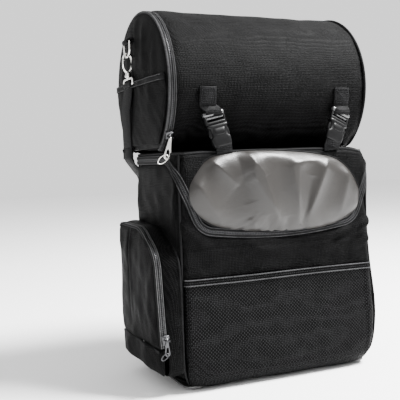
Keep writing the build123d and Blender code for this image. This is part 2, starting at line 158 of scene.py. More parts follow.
# ------------------------------------------------------------------ materials
class Nodes:
    """Short calls for building a material's node tree."""

    def __init__(self, name):
        self.material = bpy.data.materials.new(name)
        self.material.use_nodes = True
        self.tree = self.material.node_tree
        self.shader = self.tree.nodes["Principled BSDF"]
        self.place = self.add("ShaderNodeTexCoord").outputs["Object"]

    def add(self, kind, **values):
        node = self.tree.nodes.new(kind)
        for key, value in values.items():
            setattr(node, key, value)
        return node

    def link(self, a, b):
        self.tree.links.new(a, b)

    def math(self, operation, a, b=None):
        node = self.add("ShaderNodeMath", operation=operation)
        for socket, value in zip(node.inputs, (a, b)):
            if value is None:
                continue
            if isinstance(value, (int, float)):
                socket.default_value = value
            else:
                self.link(value, socket)
        return node.outputs[0]

    def noise(self, scale, detail=3.0, stretch=(1, 1, 1)):
        mapping = self.add("ShaderNodeMapping")
        mapping.inputs["Scale"].default_value = stretch
        self.link(self.place, mapping.inputs["Vector"])
        node = self.add("ShaderNodeTexNoise")
        node.inputs["Scale"].default_value = scale
        node.inputs["Detail"].default_value = detail
        self.link(mapping.outputs[0], node.inputs["Vector"])
        return node.outputs["Fac"]

    def waves(self, period, turn=0.0):
        """Sines of that period, in metres, along each axis; turn rotates the pattern about Y."""
        mapping = self.add("ShaderNodeMapping")
        mapping.inputs["Rotation"].default_value = (0, turn, 0)
        self.link(self.place, mapping.inputs["Vector"])
        split = self.add("ShaderNodeSeparateXYZ")
        self.link(mapping.outputs[0], split.inputs[0])
        return [self.math("SINE", self.math("MULTIPLY", out, TAU / period)) for out in split.outputs]

    def ramp(self, value, low, high, dark, light):
        node = self.add("ShaderNodeValToRGB")
        node.color_ramp.elements[0].position, node.color_ramp.elements[1].position = low, high
        node.color_ramp.elements[0].color = (*dark, 1)
        node.color_ramp.elements[1].color = (*light, 1)
        self.link(value, node.inputs[0])
        return node.outputs[0]

    def bump(self, height, depth, strength=1.0, under=None):
        node = self.add("ShaderNodeBump")
        node.inputs["Strength"].default_value = strength
        node.inputs["Distance"].default_value = depth
        self.link(height, node.inputs["Height"])
        if under is not None:
            self.link(under, node.inputs["Normal"])
        return node.outputs[0]

    def range(self, value, low, high):
        node = self.add("ShaderNodeMapRange")
        node.inputs["To Min"].default_value, node.inputs["To Max"].default_value = low, high
        self.link(value, node.inputs["Value"])
        return node.outputs[0]

    def finish(self, colour, normal, roughness, metallic=0.0, specular=0.5):
        self.link(colour, self.shader.inputs["Base Color"])
        self.link(normal, self.shader.inputs["Normal"])
        self.link(roughness, self.shader.inputs["Roughness"])
        self.shader.inputs["Metallic"].default_value = metallic
        self.shader.inputs["Specular IOR Level"].default_value = specular
        return self.material


def woven(name, period, dark, light, depth, turn=0.0, rough=(0.48, 0.66), grid=0.14, specular=0.03,
          span=(0.38, 0.92)):
    """A plain weave: yarns that pass over and under along each pair of axes, with slubs and mottling."""
    n = Nodes(name)
    x, y, z = n.waves(period, turn)
    over = n.math("ADD", n.math("MULTIPLY", x, z), n.math("MULTIPLY", y, n.math("ADD", x, z)))
    yarn = n.noise(1.0, 2.0, (260, 260, 900))
    mottle = n.noise(55, 5.0)
    grain = n.noise(560, 3.0)
    loose = n.math("ADD", n.math("MULTIPLY", yarn, 0.45), n.math("MULTIPLY", mottle, 0.35))
    mix = n.math("ADD", n.math("MULTIPLY", over, grid), n.math("ADD", loose, n.math("MULTIPLY", grain, 0.45)))
    colour = n.ramp(mix, *span, dark, light)
    normal = n.bump(mix, depth)
    return n.finish(colour, normal, n.range(mottle, *rough), specular=specular)


def make_vinyl():
    n = Nodes("padded_vinyl")
    grain = n.add("ShaderNodeTexVoronoi")
    grain.inputs["Scale"].default_value = 900
    n.link(n.place, grain.inputs["Vector"])
    wear = n.noise(14, 4.0)
    colour = n.ramp(wear, 0.3, 0.75, (0.0088, 0.0078, 0.0070), (0.0170, 0.0153, 0.0138))
    fine = n.bump(grain.outputs["Distance"], 0.00025, 0.5)
    normal = n.bump(n.noise(160, 3.0), 0.0004, 0.5, under=fine)
    return n.finish(colour, normal, n.range(wear, 0.33, 0.41), specular=0.34)


def make_metal(name, colour, rough):
    n = Nodes(name)
    wear = n.noise(400, 4.0)
    shade = n.ramp(n.noise(60, 3.0), 0.3, 0.8, tuple(c * 0.82 for c in colour), colour)
    return n.finish(shade, n.bump(wear, 0.00005, 0.4), n.range(wear, rough, rough + 0.14), metallic=1.0)


def make_plastic(name, dark, light, rough, specular=0.5):
    n = Nodes(name)
    fine = n.noise(900, 2.0)
    colour = n.ramp(n.noise(90, 3.0), 0.3, 0.8, dark, light)
    return n.finish(colour, n.bump(fine, 0.00006, 0.5), n.range(fine, rough, rough + 0.12), specular=specular)


def grey(level, blue=None):
    """A grey, or one with a little more blue."""
    return level, level, level if blue is None else blue


BLACK = woven("ballistic_fabric", 0.0023, grey(0.0001), grey(0.0070, 0.0072), 0.0011, rough=(0.46, 0.60),
              specular=0.022, span=(0.53, 0.92))
MESH = woven("mesh_fabric", 0.0037, grey(0.0002), grey(0.0086, 0.0090), 0.0012, turn=0.785, grid=0.34)
WEBBING = woven("webbing", 0.0026, grey(0.0006), grey(0.0115, 0.0120), 0.0009)
LIP_FABRIC = woven("zip_tape", 0.0012, grey(0.0008), grey(0.0100, 0.0105), 0.0004)
TRIM = woven("binding", 0.0013, grey(0.0090, 0.0094), grey(0.0525, 0.0540), 0.0004)
RIB = woven("zip_rib", 0.0011, grey(0.0080, 0.0082), grey(0.0560, 0.0575), 0.0003)
# A lighter copy of the zip rib fabric: painted highlight for the pocket zips' lit top arch.
RIB_PAINTED_HIGHLIGHT = woven("zip_rib_painted_highlight", 0.0011, grey(0.0200, 0.0204), grey(0.1100, 0.1120), 0.0003)
PIPING = woven("piping", 0.0012, grey(0.0010), grey(0.0130, 0.0135), 0.0003)
THREAD = woven("thread", 0.0009, grey(0.0024, 0.0025), grey(0.0240, 0.0252), 0.0002)
VINYL = make_vinyl()
METAL = make_metal("bright_metal", (0.80, 0.79, 0.76), 0.16)
DARK_METAL = make_metal("dark_metal", grey(0.060, 0.063), 0.26)
GLOSS = make_plastic("buckle_plastic", grey(0.004, 0.0045), grey(0.010, 0.011), 0.13)
# The buckle's bars in a lighter copy of its black gloss plastic: painted highlight on the bars.
BAR_PAINTED_HIGHLIGHT = make_plastic("bar_plastic_painted_highlight", grey(0.020, 0.021), grey(0.036, 0.037), 0.22, 0.8)
SATIN = make_plastic("satin_plastic", grey(0.0015, 0.0016), grey(0.004, 0.0042), 0.30, 0.12)
BOARD = make_plastic("stiffener", grey(0.03), grey(0.05), 0.5)


# ------------------------------------------------------------------ mesh building
def unit(v):
    return v / np.maximum(np.linalg.norm(v, axis=-1, keepdims=True), 1e-9)


def make(name, points, faces, material, body, replaces=(), smooth=True, thick=0.0, offset=-1):
    """One piece from points in millimetres. thick is a sheet's cloth thickness, which grows along its
    normals if offset is 1, and against them if it is -1."""
    mesh = bpy.data.meshes.new(name)
    mesh.from_pydata((np.asarray(points, float).reshape(-1, 3) * MM).tolist(), [],
                     [list(map(int, f)) for f in faces])
    mesh.validate()
    mesh.polygons.foreach_set("use_smooth", [smooth] * len(mesh.polygons))
    mesh.materials.append(material)
    piece = bpy.data.objects.new(name, mesh)
    bpy.context.scene.collection.objects.link(piece)
    if thick:
        modifier = piece.modifiers.new("cloth_thickness", "SOLIDIFY")
        modifier.thickness = thick * MM
        modifier.offset = offset
    if body:
        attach(piece, body)
    if replaces:
        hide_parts(*replaces)
    return piece


def grid_faces(rows, columns, wrap_rows=False, wrap_columns=False):
    """Quads of a grid stored row by row."""
    r = np.arange(rows if wrap_rows else rows - 1)
    c = np.arange(columns if wrap_columns else columns - 1)
    r, c = np.meshgrid(r, c, indexing="ij")
    r, c = r.ravel(), c.ravel()
    r2, c2 = (r + 1) % rows, (c + 1) % columns
    return np.stack([r * columns + c, r * columns + c2, r2 * columns + c2, r2 * columns + c], axis=1)


def filleted(points, radii, step=2.0):
    """A polyline whose inner corners are arcs of the given radii, at even steps."""
    points = [np.array(p, float) for p in points]
    dense = [points[0]]
    for before, corner, after, radius in zip(points, points[1:], points[2:], radii):
        to_before, to_after = unit(before - corner), unit(after - corner)
        half = math.acos(np.clip(to_before @ to_after, -1, 1)) / 2
        reach = radius / math.tan(half)
        centre = corner + unit(to_before + to_after) * radius / math.sin(half)
        start, end = corner + to_before * reach - centre, corner + to_after * reach - centre
        turn = math.pi - 2 * half
        count = max(int(radius * turn / step), 4)
        for k in range(count + 1):
            share = k / count
            arm = start * math.sin((1 - share) * turn) + end * math.sin(share * turn)
            dense.append(centre + arm / math.sin(turn))
    dense.append(points[-1])
    return resample(np.array(dense), step)


def resample(path, step):
    """The same line with evenly spaced points."""
    lengths = np.concatenate([[0], np.cumsum(np.linalg.norm(np.diff(path, axis=0), axis=1))])
    count = max(int(round(lengths[-1] / step)), 2)
    at = np.linspace(0, lengths[-1], count + 1)
    return np.stack([np.interp(at, lengths, path[:, k]) for k in range(path.shape[1])], axis=1)


def ripple(points, size, seed, waves=12):
    """Smooth seeded noise, about -1 to 1, whose bumps are about size across."""
    rng = np.random.default_rng(seed)
    directions = unit(rng.normal(size=(waves, points.shape[-1])))
    lengths = size * rng.uniform(1.2, 3.0, waves)
    phases = rng.uniform(0, TAU, waves)
    total = np.zeros(points.shape[:-1])
    for direction, length, phase in zip(directions, lengths, phases):
        total = total + np.sin(points @ direction * TAU / length + phase)
    return total / math.sqrt(waves / 2) / 1.6


def fold(points, start, end, width, height, end_width, ease, power):
    """A ridge (or valley, with a negative height) over flat points, fading out towards end.
    A power near 1 makes it a crease with hollow sides, like stretched cloth."""
    start, end = np.array(start, float), np.array(end, float)
    run = end - start
    pa, pb = points[..., 0] - start[0], points[..., 1] - start[1]
    share = np.clip((pa * run[0] + pb * run[1]) / (run @ run), 0, 1)
    across = np.hypot(pa - share * run[0], pb - share * run[1])
    wide = width + (end_width - width) * share
    fade = np.clip(1 - share, 0, 1) ** ease * np.clip((share + 0.08) / 0.2, 0, 1) ** 0.5
    return height * np.exp(-(across / wide) ** power) * fade


def folds(points, table, spread=1.4, ease=1.0, power=2.0):
    """The sum of several folds. Each row is (start, end, width, height, and the width at the end if it isn't
    spread times the first)."""
    rows = [(row, row[4] if len(row) > 4 else row[2] * spread) for row in table]
    return sum(fold(points, *row[:4], end_width, ease, power) for row, end_width in rows)


def swell(distance, reach):
    """Rises from 0 at an edge to 1 inside it."""
    return 1 - np.exp(-np.clip(distance, 0, None) / reach)


def facing(sign):
    """The direction out of the object's left (-1) or right (1) side."""
    return np.array([float(sign), 0.0, 0.0])


def tangents(path, closed=False):
    if closed:
        return unit(np.roll(path, -1, axis=0) - np.roll(path, 1, axis=0))
    return unit(np.gradient(path, axis=0))


def sweep(name, path, normals, profile, material, body, replaces=(), closed=False, smooth=True):
    """A profile, in (across, out) pairs, swept along path; normals say which way is out."""
    path, normals = np.asarray(path, float), np.asarray(normals, float)
    if normals.ndim == 1:
        normals = np.repeat(normals[None], len(path), axis=0)
    along = tangents(path, closed)
    across = unit(np.cross(normals, along))
    out = np.cross(along, across)
    profile = np.asarray(profile, float)
    points = path[:, None] + across[:, None] * profile[None, :, :1] + out[:, None] * profile[None, :, 1:]
    faces = grid_faces(len(path), len(profile), wrap_rows=closed, wrap_columns=True).tolist()
    count = len(profile)
    if not closed:
        faces.append(list(range(count)))
        faces.append([(len(path) - 1) * count + k for k in reversed(range(count))])
    piece = make(name, points, faces, material, body, replaces, smooth)
    flip_out(piece)
    return piece


def flip_out(piece):
    """Turns a closed mesh's faces outwards."""
    mesh = bmesh.new()
    mesh.from_mesh(piece.data)
    bmesh.ops.recalc_face_normals(mesh, faces=mesh.faces)
    mesh.to_mesh(piece.data)
    mesh.free()


def round_profile(width, height, count=10, shift=(0.0, 0.0)):
    angles = np.arange(count) * TAU / count
    return np.stack([np.cos(angles) * width / 2 + shift[0], np.sin(angles) * height / 2 + shift[1]], axis=1)


def flat_profile(width, height, shift=(0.0, 0.0)):
    """A webbing's section: flat faces and rounded edges."""
    w, h = width / 2, height / 2
    corner = min(h, w) * 0.8
    pts = [(-w, -h + corner), (-w + corner, -h), (w - corner, -h), (w, -h + corner),
           (w, h - corner), (w - corner, h), (-w + corner, h), (-w, h - corner)]
    return np.array(pts) + np.array(shift)


BRICK = np.array([(x, y, z) for x in (-0.5, 0.5) for y in (-0.5, 0.5) for z in (-0.5, 0.5)], float)
BRICK_FACES = [(0, 1, 3, 2), (4, 6, 7, 5), (0, 4, 5, 1), (2, 3, 7, 6), (0, 2, 6, 4), (1, 5, 7, 3)]


def bricks(name, path, normals, pitch, size, material, body, shift=0.0, lift=0.0, taper=0.7):
    """Small blocks along a path, such as zip teeth or stitches. size is (along, across, out)."""
    path = np.asarray(path, float)
    normals = np.asarray(normals, float)
    if normals.ndim == 1:
        normals = np.repeat(normals[None], len(path), axis=0)
    lengths = np.concatenate([[0], np.cumsum(np.linalg.norm(np.diff(path, axis=0), axis=1))])
    at = np.arange(pitch / 2, lengths[-1], pitch)
    centres = np.stack([np.interp(at, lengths, path[:, k]) for k in range(3)], axis=1)
    out = unit(np.stack([np.interp(at, lengths, normals[:, k]) for k in range(3)], axis=1))
    along_path = tangents(path)
    along = unit(np.stack([np.interp(at, lengths, along_path[:, k]) for k in range(3)], axis=1))
    across = unit(np.cross(out, along))
    out = np.cross(along, across)
    centres = centres + across * shift + out * lift
    block = BRICK * np.array(size)
    high = block[:, 2] > 0
    block[high, :2] *= taper
    points = (centres[:, None] + along[:, None] * block[None, :, :1] + across[:, None] * block[None, :, 1:2]
              + out[:, None] * block[None, :, 2:])
    faces = [[f + 8 * k for f in face] for k in range(len(centres)) for face in BRICK_FACES]
    piece = make(name, points, faces, material, body, smooth=False)
    flip_out(piece)
    return piece


# ------------------------------------------------------------------ small builders
class Plane:
    """A local frame: x across, y up along the piece, z away from the surface."""

    def __init__(self, origin, x_dir, z_dir):
        self.origin = np.array(origin, float)
        self.x, self.z = unit(np.array(x_dir, float)), unit(np.array(z_dir, float))
        self.y = np.cross(self.z, self.x)

    def at(self, points):
        points = np.asarray(points, float)
        return self.origin + points[..., :1] * self.x + points[..., 1:2] * self.y + points[..., 2:3] * self.z


def bevel(piece, width, segments=2):
    modifier = piece.modifiers.new("edges", "BEVEL")
    modifier.width = width * MM
    modifier.segments = segments
    modifier.limit_method = "ANGLE"
    return piece


def box(name, plane, centre, size, material, body, replaces=(), edge=0.4):
    """A block in a local frame with softened edges."""
    points = plane.at(BRICK * np.array(size, float) + np.array(centre, float))
    piece = make(name, points, BRICK_FACES, material, body, replaces, smooth=False)
    flip_out(piece)
    return bevel(piece, edge, 3)


def wire(name, path, diameter, material, body, replaces=(), closed=False, up=(0.0, 1.0, 0.13), count=10):
    """Round wire, thread or piping along a path."""
    return sweep(name, path, np.array(up, float), round_profile(diameter, diameter, count), material, body,
                 replaces, closed)


def loft(name, plane, stations, material, body, replaces=(), power=0.45, count=28):
    """A moulded body along a local frame's y. stations are (y, half width, half thickness)."""
    angles = np.arange(count) * TAU / count
    c, s = np.cos(angles), np.sin(angles)
    c, s = np.sign(c) * np.abs(c) ** power, np.sign(s) * np.abs(s) ** power
    rings = [np.stack([c * half, np.full(count, y), s * thick], axis=1) for y, half, thick in stations]
    faces = grid_faces(len(rings), count, wrap_columns=True).tolist()
    faces.append(list(range(count)))
    faces.append([(len(rings) - 1) * count + k for k in range(count)])
    piece = make(name, plane.at(np.concatenate(rings)), faces, material, body, replaces)
    flip_out(piece)
    return piece


def plate(name, plane, outline, hole, thick, material, body, replaces=()):
    """A flat plate with one hole, both outlines seen from the hole's middle. Each is (x, y) pairs."""
    hole = np.asarray(hole, float)
    middle = hole.mean(axis=0)
    angles = np.linspace(0, TAU, 72, endpoint=False)

    def reach(loop):
        loop = resample(np.vstack([loop, loop[:1]]), 0.3) - middle
        turn, far = np.arctan2(loop[:, 1], loop[:, 0]) % TAU, np.hypot(loop[:, 0], loop[:, 1])
        order = np.argsort(turn)
        return np.interp(angles, turn[order], far[order], period=TAU)

    loops = []
    for far, high in ((reach(np.asarray(outline, float)), 1), (reach(np.asarray(outline, float)), -1),
                      (reach(hole), -1), (reach(hole), 1)):
        loops.append(np.stack([middle[0] + far * np.cos(angles), middle[1] + far * np.sin(angles),
                               np.full(72, high * thick / 2)], axis=1))
    faces = grid_faces(4, 72, wrap_rows=True, wrap_columns=True)
    piece = make(name, plane.at(np.concatenate(loops)), faces, material, body, replaces, smooth=False)
    flip_out(piece)
    return bevel(piece, 0.3, 2)


def stitches(name, path, normals, body, lift=0.4, pitch=3.6, shift=0.0, width=0.7):
    return bricks(name, path, normals, pitch, (pitch * 0.66, width, 0.6), THREAD, body, shift, lift)


# ------------------------------------------------------------------ shoulder strap: one flat cord
STRAP_X, TAIL_X, TAIL_Y, TAIL_Z = 173.5, 166.5, 101.0, 337.0
ROUND_CORNER = (161.8, 107.8, 326.0)  # where the strap turns behind the main bag
LOOP = [(-140, 300), (-126, 236), (-102, 164), (-58, 104), (0, 80), (58, 104), (102, 164), (126, 236),
        (140, 300)]
LOOP_RADII = [150, 100, 90, 90, 90, 100, 150]
LOOP_Y, STRAP_WIDTH, STRAP_THICK = 116.0, 38.0, 2.2


def strap_ribbon(name, path, body, replaces=()):
    """Flat webbing whose width lies along Y."""
    along = tangents(path)
    normals = unit(np.cross(along, [0.0, 1.0, 0.0]))
    return sweep(name, path, normals, flat_profile(STRAP_WIDTH, STRAP_THICK), WEBBING, body, replaces)


loop_path = filleted(LOOP, LOOP_RADII, 4.0)
loop_path = np.stack([loop_path[:, 0], np.full(len(loop_path), LOOP_Y), loop_path[:, 1]], axis=1)
right_turn = np.array([ROUND_CORNER, (TAIL_X, TAIL_Y, TAIL_Z)], float)
left_turn = right_turn[::-1] * np.array([-1.0, 1.0, 1.0])
strap_path = resample(np.vstack([left_turn, loop_path, right_turn]), 4.0)
strap_loop = strap_ribbon("shoulder_strap_loop", strap_path, "roll")
ring_middle = (node_box("ring_left")[0] + node_box("ring_left")[1]) / 2
RING_Y = ring_middle[1]
eye_low = node_box("hook_eye_left")[0][2]


def strap_fold(sign, body):
    """The strap's end, wrapped round the eye's lower bar."""
    y = np.linspace(RING_Y - 17, RING_Y + 17, 8)
    bar = np.column_stack([np.full(8, sign * STRAP_X), y, np.full(8, eye_low + 1.8)])
    side = SIDES[sign]
    sweep(f"strap_fold_{side}", bar, np.array([0, 0, 1.0]), round_profile(8.0, 8.6, 14), WEBBING, body)


def strap_tail(sign, name):
    """From the hook's eye down the roll's end to the adjuster, folded back on itself at the eye."""
    x = sign * STRAP_X
    top = [(x, RING_Y, eye_low + 4.5), (x, RING_Y + 2, eye_low - 6), (x + sign * 0.4, RING_Y + 17, 405.0),
           (x - sign * 3.0, RING_Y + 26, 368.0), (sign * TAIL_X, TAIL_Y, TAIL_Z)]
    return strap_ribbon(name, resample(filleted(top, [8, 80, 80], 3.0), 3.0), None)


strap_fold(-1, "roll_door")
strap_fold(1, "roll")
tail_left = strap_tail(-1, "strap_tail_left_ribbon")
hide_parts("strap_tail_left")
tail_right = strap_tail(1, "strap_tail_right_ribbon")
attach(tail_right, "roll")
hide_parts("shoulder_strap")
for sign, side in SIDES.items():
    height = np.linspace(-9, 9, 6)
    band = np.column_stack([sign * (TAIL_X + 0.1 + 0 * height), TAIL_Y - 1 + 0 * height, TAIL_Z + 2 + height])
    sweep(f"strap_keeper_{side}", band, facing(sign), flat_profile(41.0, 5.0), WEBBING,
                         "roll")


# ------------------------------------------------------------------ main bag
CORNER = 16.0
SEAM = HALF_W - CORNER + CORNER * math.pi / 4  # the vertical seams run down the middle of each corner
SIDE_RUN = 2 * (HALF_D - CORNER)
BACK_SEAM = SEAM + CORNER * math.pi / 2 + SIDE_RUN
HALF_ROUND = BACK_SEAM + SEAM
BASE_ROUND, TOP_ROUND = 28.0, 6.0


def skin(s, z, out=0.0):
    """The main bag's surface. s runs round it from the front's middle, to the right; z is the height."""
    s, z = np.broadcast_arrays(np.asarray(s, float), np.asarray(z, float))
    s = (s + HALF_ROUND) % (2 * HALF_ROUND) - HALF_ROUND
    side, far = np.where(s < 0, -1.0, 1.0), np.abs(s)
    flat, arc = HALF_W - CORNER, CORNER * math.pi / 2
    first = np.clip((far - flat) / CORNER, 0, math.pi / 2)
    run = far - flat - arc
    second = np.clip((run - SIDE_RUN) / CORNER, 0, math.pi / 2)
    x = np.minimum(far, flat) + CORNER * np.sin(first) - CORNER * (1 - np.cos(second))
    x = x - np.clip(run - SIDE_RUN - arc, 0, None)
    y = -HALF_D + CORNER * (1 - np.cos(first)) + np.clip(run, 0, SIDE_RUN) + CORNER * np.sin(second)
    turn = first + second
    below, above = np.clip(BASE_ROUND - z, 0, BASE_ROUND), np.clip(z - (TOP - TOP_ROUND), 0, TOP_ROUND)
    inset = BASE_ROUND - np.sqrt(BASE_ROUND ** 2 - below ** 2)
    inset = inset + (TOP_ROUND - np.sqrt(TOP_ROUND ** 2 - above ** 2))
    inset = inset + 9.0 * np.exp(-((far - SEAM) / 24) ** 2) * np.exp(-(z / 24) ** 2)
    rise = above / TOP_ROUND - below / BASE_ROUND
    level = np.sqrt(np.clip(1 - rise ** 2, 0, 1))
    flat_normal = np.stack([np.sin(turn) * side, -np.cos(turn), np.zeros_like(turn)], axis=-1)
    normal = flat_normal * level[..., None] + np.stack([0 * rise, 0 * rise, rise], axis=-1)
    slump = 7.5 * np.exp(-((z - 92) / 74) ** 2) * np.sin(np.clip(turn, 0,
        math.pi)) ** 0.8 * np.where(side > 0, 1.55, 0.5)
    slump = slump + 3.0 * np.exp(-((z - 60) / 60) ** 2) * np.cos(np.clip(turn, 0, math.pi / 2))
    droop = np.where(side > 0, 6.5, 2.0) * np.exp(-((far - SEAM) / 26) ** 2) * np.exp(-((TOP - z) / 30) ** 2)
    inset = inset + 0.9 * droop * np.exp(-((TOP - z) / 16) ** 2)
    point = np.stack([x * side, y, z - droop], axis=-1) - flat_normal * (inset - slump)[..., None]
    return point + normal * np.asarray(out, float)[..., None], normal


LINE = filleted([(-340, 327), (-166, 327), (-127, 227), (0, 209), (127, 227), (166, 327), (340, 327)],
                [48, 30, 700, 30, 48], 2.5)


def closing(s):
    """Height of the lid's closing line at s."""
    return np.interp(np.abs(s), LINE[len(LINE) // 2:, 0], LINE[len(LINE) // 2:, 1])


def line_path(low, high, z_of, out=0.0, step=2.0):
    """A path round the bag between two s values, with its surface normals."""
    s = np.linspace(low, high, int((high - low) / step) + 1)
    return skin(s, z_of(s), np.full(len(s), float(out)))


def panel(name, s_range, low, high, relief, material, body, replaces=(), step=2.4, tuck=(1, 1, 1, 1),
          depth=2.2):
    """A sewn panel of the bag. low and high give its bottom and top at s, relief its own shape, outwards.
    tuck says which edges (left, right, bottom, top) are pulled in by their seam."""
    s = np.linspace(*s_range, int((s_range[1] - s_range[0]) / step) + 1)
    bottom, top = low(s), high(s)
    rows = int((top - bottom).max() / step) + 2
    share = np.linspace(0, 1, rows)
    z = bottom[None] + share[:, None] * (top - bottom)[None]
    s = np.broadcast_to(s, z.shape)
    out = relief(s, z)
    for pulls, away in zip(tuck, (s - s_range[0], s_range[1] - s, z - bottom, top - z)):
        out = out - pulls * depth * np.exp(-(away / 4.5) ** 2)
    points, _ = skin(s, z, out)
    return make(name, points, grid_faces(*z.shape), material, body, replaces, thick=1.2)


def constant(value):
    return lambda s: np.full(np.shape(s), float(value))


def surface(s, z):
    return np.stack([s, z], axis=-1)


FRONT_FOLDS = [
    ((156, 226), (66, 170), 7, 6.5, 10), ((156, 200), (92, 166), 6, 5.6, 8),
               ((112, 214), (40, 176), 6, 5.2, 9),
    ((-156, 236), (-90, 184), 7, 5.0, 10), ((134, 212), (44, 178), 5, -4.0, 8),
               ((-44, 198), (40, 176), 7, 3.4, 9),
]


def front_relief(s, z):
    at = surface(s, z)
    out = 2.0 * ripple(at, 60, 3) + 0.6 * ripple(at, 16, 4) + folds(at, FRONT_FOLDS)
    shown = np.clip((z - 146) / 16, 0, 1)  # flat where the pocket covers it
    return (out - 1.2 * np.exp(-((z - 200) / 3.0) ** 2) + 2.0) * shown - 1.5 * (1 - shown)


def side_relief(seed):
    def relief(s, z):
        at = surface(s, z)
        across = np.abs(s) - (SEAM + BACK_SEAM) / 2
        bulge = 3.2 * np.cos(np.clip(across / 84, -1, 1) * math.pi / 2) * np.cos(np.clip((z - 165) / 175,
            -1, 1) * 1.5)
        out = bulge + 1.8 * ripple(at, 70, seed) + 0.6 * ripple(at, 18, seed + 1)
        mirrored = surface(np.abs(s), z)
        return out + folds(mirrored, [((SEAM + 6, 290), (SEAM + 26, 190), 7, 2.2, 9),
                                      ((SEAM + 8, 40), (SEAM + 70, 18), 7, 2.4, 10)])
    return relief


def base_round():
    """The base band and bottom, one piece."""
    s = np.linspace(-HALF_ROUND, HALF_ROUND, 400)
    rows = []
    for z in np.linspace(15, 0, 9):
        rows.append(skin(s, np.full(len(s), z), np.full(len(s), -1.4))[0])
    rim = rows[-1]
    for share in (0.9, 0.7, 0.4, 0.05):
        rows.append(rim * np.array([share, share, 1.0]))
    points = np.array(rows)
    points[..., 2] = np.maximum(points[..., 2], 0.05)
    return make("base_band", points, grid_faces(*points.shape[:2]), BLACK, "main_bag", ["main_base"],
                thick=1.2)


base_round()
panel("front_panel", (-SEAM, SEAM), constant(14), lambda s: closing(s) - LIP, front_relief, BLACK, "main_bag",
      ["main_front"])
for sign, side in SIDES.items():
    edges = (SEAM, BACK_SEAM) if sign > 0 else (-BACK_SEAM, -SEAM)
    panel(f"side_panel_{side}", edges, constant(14), lambda s: closing(s) - LIP, side_relief(20 + sign),
          BLACK,
          "main_bag", [f"main_side_{side}"])
panel("back_panel", (BACK_SEAM, BACK_SEAM + 2 * SEAM), constant(14), constant(TOP - TOP_ROUND - 1),
      lambda s, z: 1.2 * ripple(surface(s, z), 50, 31), BLACK, "main_bag", ["main_back"])


def piping(name, s, low, high, body, out=0.2):
    z = np.linspace(low, high, max(int((high - low) / 3), 4))
    points, _ = skin(np.full(len(z), float(s)), z, np.full(len(z), out))
    return wire(name, points, 3.4, PIPING, body, up=(0.6, 0.8, 0.05), count=8)


for sign, side in SIDES.items():
    piping(f"front_seam_{side}", sign * SEAM, 7.0, float(closing(SEAM)) - LIP, "main_bag")
    piping(f"back_seam_{side}", sign * BACK_SEAM, 7.0, TOP - TOP_ROUND - 3, "main_bag")
base_line = line_path(-HALF_ROUND, HALF_ROUND, constant(14.5), 0.3, 3.0)[0]
wire("base_piping", base_line[:-1], 2.2, BLACK, "main_bag", closed=True, up=(0, 0, 1), count=8)


# ------------------------------------------------------------------ front pocket
def pocket_relief(s, z):
    """The mesh pocket stands out from the panel and slumps a little towards its bottom."""
    at = surface(s, z)
    rise = 5.4 * swell(SEAM - 3 - np.abs(s), 4.0) * swell(z - 2, 8.0)
    sag = 2.6 * np.exp(-((z - 48) / 42) ** 2) * np.cos(np.clip(s / 150, -1, 1) * 1.4)
    out = rise + sag + 0.9 * ripple(at, 55, 41) + 0.25 * ripple(at, 14, 42)
    return out + folds(at, [((-148, 60), (-96, 26), 7, 1.8, 10), ((148, 50), (92, 24), 7, 1.8, 10),
                            ((-150, 132), (-90, 110), 8, 1.2, 14)])


panel("front_pocket_mesh", (-SEAM + 3, SEAM - 3), constant(5), constant(BINDING_LOW + 3), pocket_relief, MESH,
      "main_bag", ["front_pocket"], tuck=(0, 0, 0, 0), step=2.0)


def binding_out(s):
    return 5.6 * swell(SEAM - 2 - np.abs(s), 4.0)


def band_path(z, out_extra=0.0):
    s = np.linspace(-SEAM + 3, SEAM - 3, 150)
    return skin(s, np.full(len(s), z) + 0.4 * np.sin(s / 37), binding_out(s) + out_extra)


middle = (BINDING_LOW + BINDING_HIGH) / 2
path, normals = band_path(middle)
sweep("front_pocket_hem", path, normals, flat_profile(9.0, 2.6), BLACK, "main_bag", ["front_pocket_binding"])
for index, z in enumerate((BINDING_LOW + 0.6, BINDING_HIGH - 0.6)):
    path, normals = band_path(z, 1.2)
    wire(f"front_pocket_trim_{index}", path, 1.9, TRIM, "main_bag", up=(0, -0.2, 1), count=8)
path, normals = band_path(middle, 1.4)
stitches("front_pocket_stitching", path, normals, "main_bag")

# ------------------------------------------------------------------ sleeve for a back rest, behind
SLEEVE_LOW, SLEEVE_HIGH = node_box("sissy_bar_sleeve")[0][2], node_box("sissy_bar_sleeve")[1][2]
SLEEVE_HALF = node_box("sissy_bar_sleeve")[1][0]


def sleeve_relief(s, z):
    from_side, from_end = SLEEVE_HALF - np.abs(s - HALF_ROUND), SLEEVE_HIGH - z
    return 5.5 * swell(from_side, 3) * (1 - 0.8 * np.exp(-from_end / 3)) + 0.8 * ripple(surface(s, z), 45, 51)


panel("back_rest_sleeve", (HALF_ROUND - SLEEVE_HALF, HALF_ROUND + SLEEVE_HALF), constant(SLEEVE_LOW),
      constant(SLEEVE_HIGH), sleeve_relief, BLACK, "main_bag", ["sissy_bar_sleeve"], tuck=(0, 0, 0, 0))
for index, inset in enumerate((4.0, 8.0)):
    path, normals = line_path(HALF_ROUND - SLEEVE_HALF + inset, HALF_ROUND + SLEEVE_HALF - inset,
                              constant(SLEEVE_HIGH - inset), 4.6)
    stitches(f"sleeve_stitching_{index}", path, normals, "main_bag")
path, normals = line_path(HALF_ROUND - SLEEVE_HALF, HALF_ROUND + SLEEVE_HALF, constant(SLEEVE_LOW + 1), 5.4)
sweep("sleeve_hem", path, normals, flat_profile(8.0, 2.0), TRIM, "main_bag")


